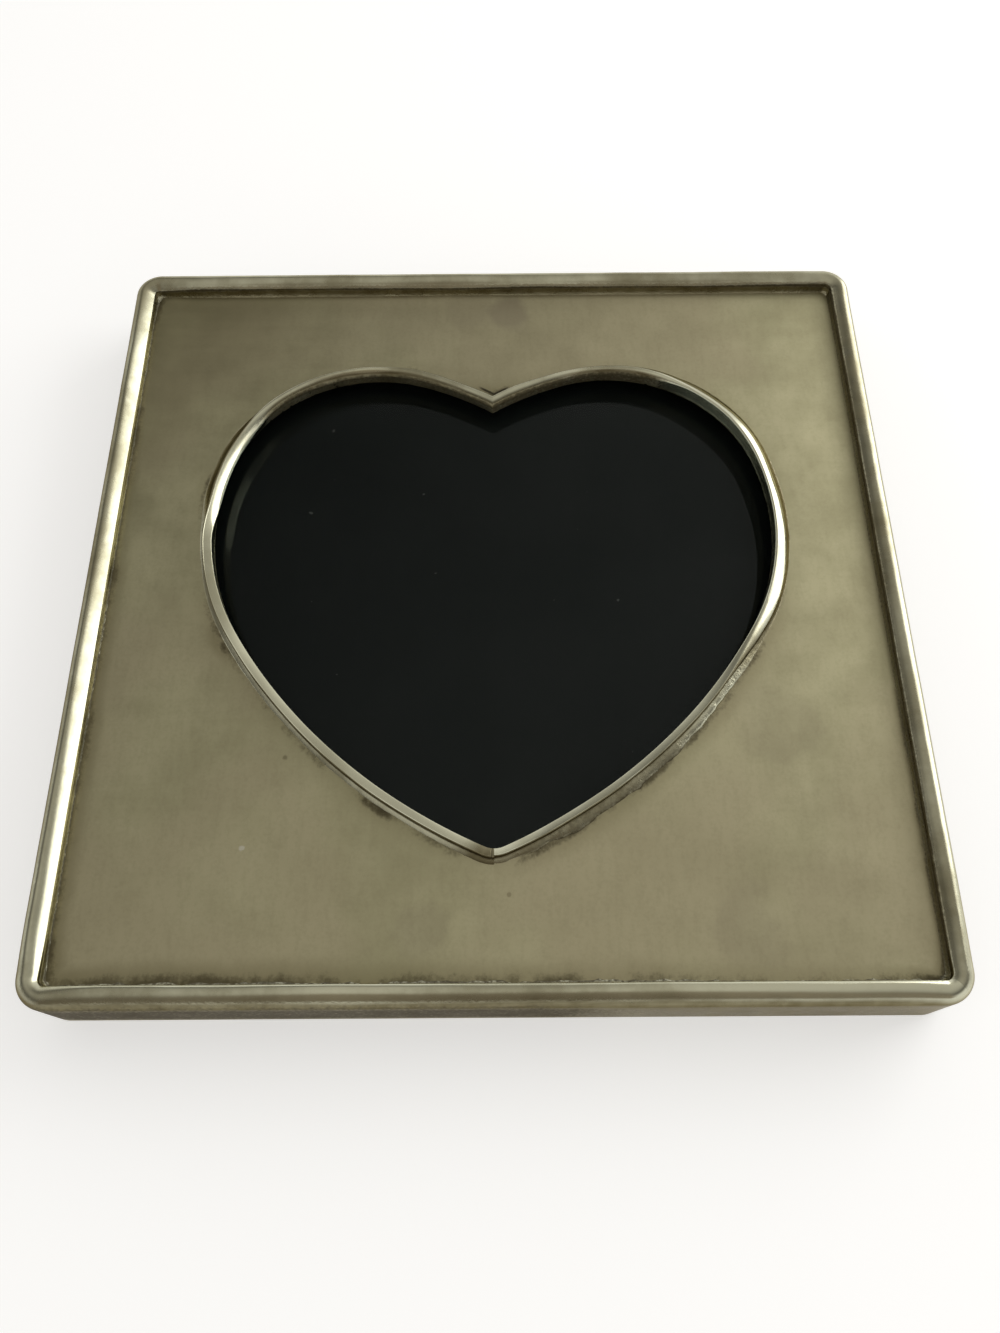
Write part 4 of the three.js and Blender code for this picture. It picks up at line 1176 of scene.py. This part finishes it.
def fastener_tree(name, slotted):
    """A turned fastener on each point, head towards -Z: a sphere whose lower half becomes the head and whose
    upper half becomes the shank. A slot is cut across the head where there is one."""
    tree = bpy.data.node_groups.new(name, "GeometryNodeTree")
    nodes = Nodes(tree)
    tree.interface.new_socket("Geometry", in_out="INPUT", socket_type="NodeSocketGeometry")
    sockets = {
        label: tree.interface.new_socket(label, in_out="INPUT", socket_type=kind)
        for label, kind in FASTENER_INPUTS.items()
    }
    tree.interface.new_socket("Geometry", in_out="OUTPUT", socket_type="NodeSocketGeometry")

    def given(label):
        return nodes.node("NodeGroupInput", output=label)

    ball = nodes.node("GeometryNodeMeshUVSphere", inputs={0: HEAD_SEGMENTS, 1: HEAD_RINGS, 2: 1.0})
    x, y, z = nodes.split(nodes.node("GeometryNodeInputPosition"))
    seat_ring = math.sin(math.pi / HEAD_RINGS * 1.5)
    end_ring = math.sin(math.pi / HEAD_RINGS * 2.5)
    end_girth = math.cos(math.pi / HEAD_RINGS * 2)
    in_shank = z > seat_ring * 0.5
    girth = ((1.0 - z * z).at_least(0.0) ** 0.5).at_least(end_girth)
    spread = given("Head Radius") * (1.0 - in_shank) + given("Shank Radius") / girth * in_shank
    crown = (z * -1.0).at_least(0.0) ** given("Fullness") * given("Head Height") * -1.0
    level = crown + given("Shank Length") * (z > end_ring * 0.8)
    shaped = nodes.node(
        "GeometryNodeSetPosition",
        inputs={"Geometry": ball, "Position": nodes.join(x * spread, y * spread, level)},
    )
    if slotted:
        size = nodes.join(given("Head Radius") * 3.0, given("Slot Width"), given("Slot Depth") * 2.0)
        cutter = nodes.node("GeometryNodeMeshCube", inputs={"Size": size})
        lowered = nodes.node(
            "GeometryNodeTransform",
            inputs={"Geometry": cutter, "Translation": nodes.join(0.0, 0.0, given("Head Height") * -1.0)},
        )
        shaped = nodes.node("GeometryNodeMeshBoolean", {"operation": "DIFFERENCE"}, {0: shaped, 1: lowered})
    seeded = {2: 0.0, 3: math.pi, 8: given("Turn Seed")}
    turn = nodes.node("FunctionNodeRandomValue", {"data_type": "FLOAT"}, seeded, 1)
    placed = nodes.node(
        "GeometryNodeInstanceOnPoints",
        inputs={"Points": given("Geometry"), "Instance": shaped, "Rotation": nodes.join(0.0, 0.0, turn)},
    )
    solid = nodes.node("GeometryNodeRealizeInstances", inputs={0: placed})
    coated = nodes.node("GeometryNodeSetMaterial", inputs={"Geometry": solid, "Material": given("Finish")})
    nodes.node("NodeGroupOutput", inputs={0: coated})
    return tree, sockets


def fasteners(name, places, sizes, settings, finish):
    """One mesh with a fastener at each place, which is the middle of the seat under its head. Sizes are in
    millimetres, and a fastener with a slot width is slotted."""
    tree, sockets = fastener_tree(name, "Slot Width" in sizes)
    seats = bpy.data.meshes.new(name)
    seats.from_pydata((np.array(places) * MM).tolist(), [], [])
    made = bpy.data.objects.new(name, seats)
    grow = made.modifiers.new("fasteners", "NODES")
    grow.node_group = tree
    lengths = {label: size * MM for label, size in sizes.items()}
    for label, value in {**lengths, **settings, "Finish": finish}.items():
        grow[sockets[label].identifier] = value
    return tidy_mesh(settle(made), sharp_deg=40.0)


def rivets(name, y, seat, flush, finish):
    places = [(-RIVET_X, y, seat), (RIVET_X, y, seat)]
    return fasteners(name, places, {**RIVET, "Shank Length": flush - seat}, {"Fullness": 1.0}, finish)


def screws(finish):
    low, high = span("button_screw_upper_left", Z)
    seat = low + SCREW["Head Height"]
    places = [(a * BUTTON_X, b * BUTTON_Y, seat) for a in (-1, 1) for b in (-1, 1)]
    sizes = {**SCREW, "Shank Length": high - seat}
    return fasteners("button_screws", places, sizes, {"Fullness": 0.55, "Turn Seed": 7}, finish)


# Camera

CAMERA_AT = Vector((1.575, -96.6, 184.6))
CAMERA_LENS = 28.87
CAMERA_DOWN = math.radians(65.12)
CAMERA_YAW = math.radians(-0.30)
CAMERA_ROLL = math.radians(-0.69)


def make_camera():
    """The camera looks along +Y and down, turned a little to the side and rolled a little."""
    lens = bpy.data.cameras.new("camera")
    lens.lens = CAMERA_LENS
    lens.clip_start = 0.01
    camera = bpy.data.objects.new("camera", lens)
    camera.matrix_world = Matrix.Translation(CAMERA_AT * MM)
    for angle, axis in ((-CAMERA_YAW, "Z"), (math.pi / 2 - CAMERA_DOWN, "X"), (CAMERA_ROLL, "Z")):
        camera.matrix_world @= Matrix.Rotation(angle, 4, axis)
    bpy.context.scene.collection.objects.link(camera)
    bpy.context.scene.camera = camera


# Floor, window light and room

FLOOR_REACH = 20.0
FLOOR_HOLE = (HALF - 1.7) * MM
FLOOR_NEAR, FLOOR_FAR = 0.30, 0.75
PALE = 0.93
WINDOW = Vector((0.80, 0.46, 0.36)).normalized()
WINDOW_FAR = 0.6
WINDOW_SIZE = 0.50
WINDOW_LEVEL = 1.65
GLOW = Vector((0.60, 0.75, 0.28)).normalized()


def floor_finish():
    """A pale floor that is white to the eye and in mirror images, and keeps the shadow. Far off it is as pale
    as the room, and from below it is clear."""
    finish = Finish("pale_floor")
    path = finish.node("ShaderNodeLightPath")
    kinds = ("Is Camera Ray", "Is Glossy Ray", "Is Transmission Ray")
    seen = reduce(Wire.at_least, [Wire(finish, path.socket.node.outputs[kind]) for kind in kinds])
    mottle = finish.noise(0.003, 2.0)
    paint = finish.mix(mottle, colour(0.78, 0.78, 0.775), colour(0.82, 0.82, 0.815))
    matt = finish.node("ShaderNodeBsdfDiffuse", inputs={"Color": paint})
    lift = finish.node("ShaderNodeEmission", inputs={"Strength": seen * 0.48})
    near = finish.node("ShaderNodeAddShader", inputs={0: matt, 1: lift})
    far_off = finish.node("ShaderNodeEmission", inputs={"Strength": PALE})
    reach = finish.node("ShaderNodeVectorMath", {"operation": "LENGTH"}, {0: finish.place}, 1)
    fade = finish.ramp(reach, FLOOR_NEAR, FLOOR_FAR) * seen
    pale = finish.node("ShaderNodeMixShader", inputs={0: fade, 1: near, 2: far_off})
    below = finish.node("ShaderNodeNewGeometry", output="Backfacing")
    clear = finish.node("ShaderNodeBsdfTransparent")
    return finish.show(finish.node("ShaderNodeMixShader", inputs={0: below, 1: pale, 2: clear}))


def make_floor():
    """The floor is open under the frame, inside the edge that it rests on, so the back is lit from below."""
    corners = [(-1, -1), (1, -1), (1, 1), (-1, 1)]
    points = [(a * reach, b * reach, 0.0) for reach in (FLOOR_HOLE, FLOOR_REACH) for a, b in corners]
    faces = [(i, 4 + i, 4 + (i + 1) % 4, (i + 1) % 4) for i in range(4)]
    mesh = bpy.data.meshes.new("floor")
    mesh.from_pydata(points, [], faces)
    mesh.materials.append(floor_finish())
    floor = bpy.data.objects.new("floor", mesh)
    bpy.context.scene.collection.objects.link(floor)


def make_room():
    """A soft room: pale at the horizon, dim overhead, a glow round the window and a dark patch in front."""
    world = bpy.data.worlds.new("room")
    world.use_nodes = True
    bpy.context.scene.world = world
    sky = Nodes(world.node_tree)
    x, y, z = sky.split(sky.node("ShaderNodeTexCoord", output="Generated"))
    horizon = sky.ramp(abs(z), 0.72, 0.36)
    ceiling = (0.50 + (z - 0.91) * 1.75).at_least(0.10)
    glow = (x * GLOW.x + y * GLOW.y + z * GLOW.z).at_least(0.0) ** 6.0 * 1.25
    level_run = ((1.0 - z * z).at_least(0.0) ** 0.5).at_least(0.05)
    dark = sky.ramp(y * -1.0 / level_run, 0.70, 0.93) * sky.ramp(z, 0.27, 0.42) * sky.ramp(z, 0.995, 0.93)
    above = (ceiling + glow) * (1.0 - horizon) + horizon * PALE
    above = above * (1.0 - dark) + dark * 0.28
    below = z < 0.0
    level = above * (1.0 - below) + (0.55 + horizon * (PALE - 0.55)) * below
    warm = sky.mix(dark, colour(1.0, 0.97, 0.90), colour(1.0, 0.86, 0.69))
    tint = sky.mix(horizon * (1.0 - dark), warm, colour(1.0, 1.0, 1.0))
    light = sky.node("ShaderNodeBackground", inputs={"Color": tint, "Strength": level})
    sky.node("ShaderNodeOutputWorld", inputs={"Surface": light})


def make_window():
    lamp = bpy.data.lights.new("window", "AREA")
    lamp.shape = "SQUARE"
    lamp.size = WINDOW_SIZE
    lamp.energy = 4 * WINDOW_LEVEL * WINDOW_SIZE**2
    window = bpy.data.objects.new("window", lamp)
    window.location = WINDOW * WINDOW_FAR
    window.rotation_euler = WINDOW.to_track_quat("Z", "Y").to_euler()
    window.visible_camera = False
    bpy.context.scene.collection.objects.link(window)


def make_pieces():
    pewter = polished_pewter()
    for side in SIDES:
        place_piece(f"{side}_rail", rail_mesh(side), pewter, "pewter", "frame", f"rim_rail_{side}")
    place_piece("pewter_plate", plate_mesh(), satin_plate(), "pewter_plate", "frame", "front_plate")
    for side in ("left", "right"):
        place_piece(f"{side}_bezel", bezel_mesh(side), pewter, "pewter", "frame", f"heart_bezel_{side}")

    pane = rounded_square(PANE_HALF, PANE_CORNER)
    glass = cut_sheet("glass", [pane], GLASS_BACK, GLASS_FRONT, edge=0.3)
    place_piece("glass", glass, clear_glass(), "clear_glass", "frame", "glass_pane")
    card = cut_sheet("card", [pane], CARD_BACK, CARD_FRONT, edge=0.06)
    place_piece("card", card, black_card(), "black_card", "frame", "display_card")

    flock = black_flock()
    board_rivet_y, leg_rivet_y = HINGE_Y + RIVET_SETBACK, HINGE_Y - RIVET_SETBACK
    board_holes = [round_hole(x, board_rivet_y, RIVET_HOLE) for x in (-RIVET_X, RIVET_X)]
    board = cut_sheet("board", [pane, *board_holes], BOARD_BACK, BOARD_FRONT, edge=0.35)
    place_piece("board", board, flock, "flocked_board", "frame", "backing_board")
    leg_holes = [round_hole(x, leg_rivet_y, RIVET_HOLE) for x in (-RIVET_X, RIVET_X)]
    leg = cut_sheet("leg", [leg_outline(), *leg_holes], LEG_BACK, LEG_FRONT, edge=0.4)
    place_piece("leg", leg, flock, "flocked_board", "easel", "easel_leg")

    brass = aged_brass()
    place_piece("board_leaf", board_leaf(), brass, "aged_brass", "frame", "hinge_board_leaf")
    place_piece("leg_leaf", leg_leaf(), brass, "aged_brass", "easel", "hinge_leg_leaf")
    place_piece("domed_pin", pin_mesh(), brass, "aged_brass", "frame", "hinge_pin")
    board_seat, leg_seat = BOARD_LEAF_FRONT - LEAF_THICKNESS, LEG_LEAF_BACK
    heads = rivets("board_rivets", board_rivet_y, board_seat, BOARD_FRONT, brass)
    place_piece("board_rivets", heads, brass, "aged_brass", "frame", "board_rivet_left", "board_rivet_right")
    heads = rivets("leg_rivets", leg_rivet_y, leg_seat, LEG_FRONT, brass)
    place_piece("leg_rivets", heads, brass, "aged_brass", "easel", "leg_rivet_left", "leg_rivet_right")

    corners = [(row, side) for row in ("upper", "lower") for side in ("left", "right")]
    for row, side in corners:
        x, hand = (-BUTTON_X, 1) if side == "left" else (BUTTON_X, -1)
        y = BUTTON_Y if row == "upper" else -BUTTON_Y
        outlines = [button_outline(x, y, hand), round_hole(x, y, SCREW_HOLE)]
        button = cut_sheet("button", outlines, BUTTON_BACK, BUTTON_FRONT, edge=0.25)
        name = f"{row}_{side}"
        body, node = f"button_{name}", f"turn_button_{name}"
        place_piece(f"{body}_brass", button, brass, "aged_brass", body, node)
    screw_nodes = [f"button_screw_{row}_{side}" for row, side in corners]
    place_piece("button_screws", screws(brass), brass, "aged_brass", "frame", *screw_nodes)


bpy.context.scene.view_settings.view_transform = "Standard"
make_camera()
make_floor()
make_room()
make_window()
make_pieces()
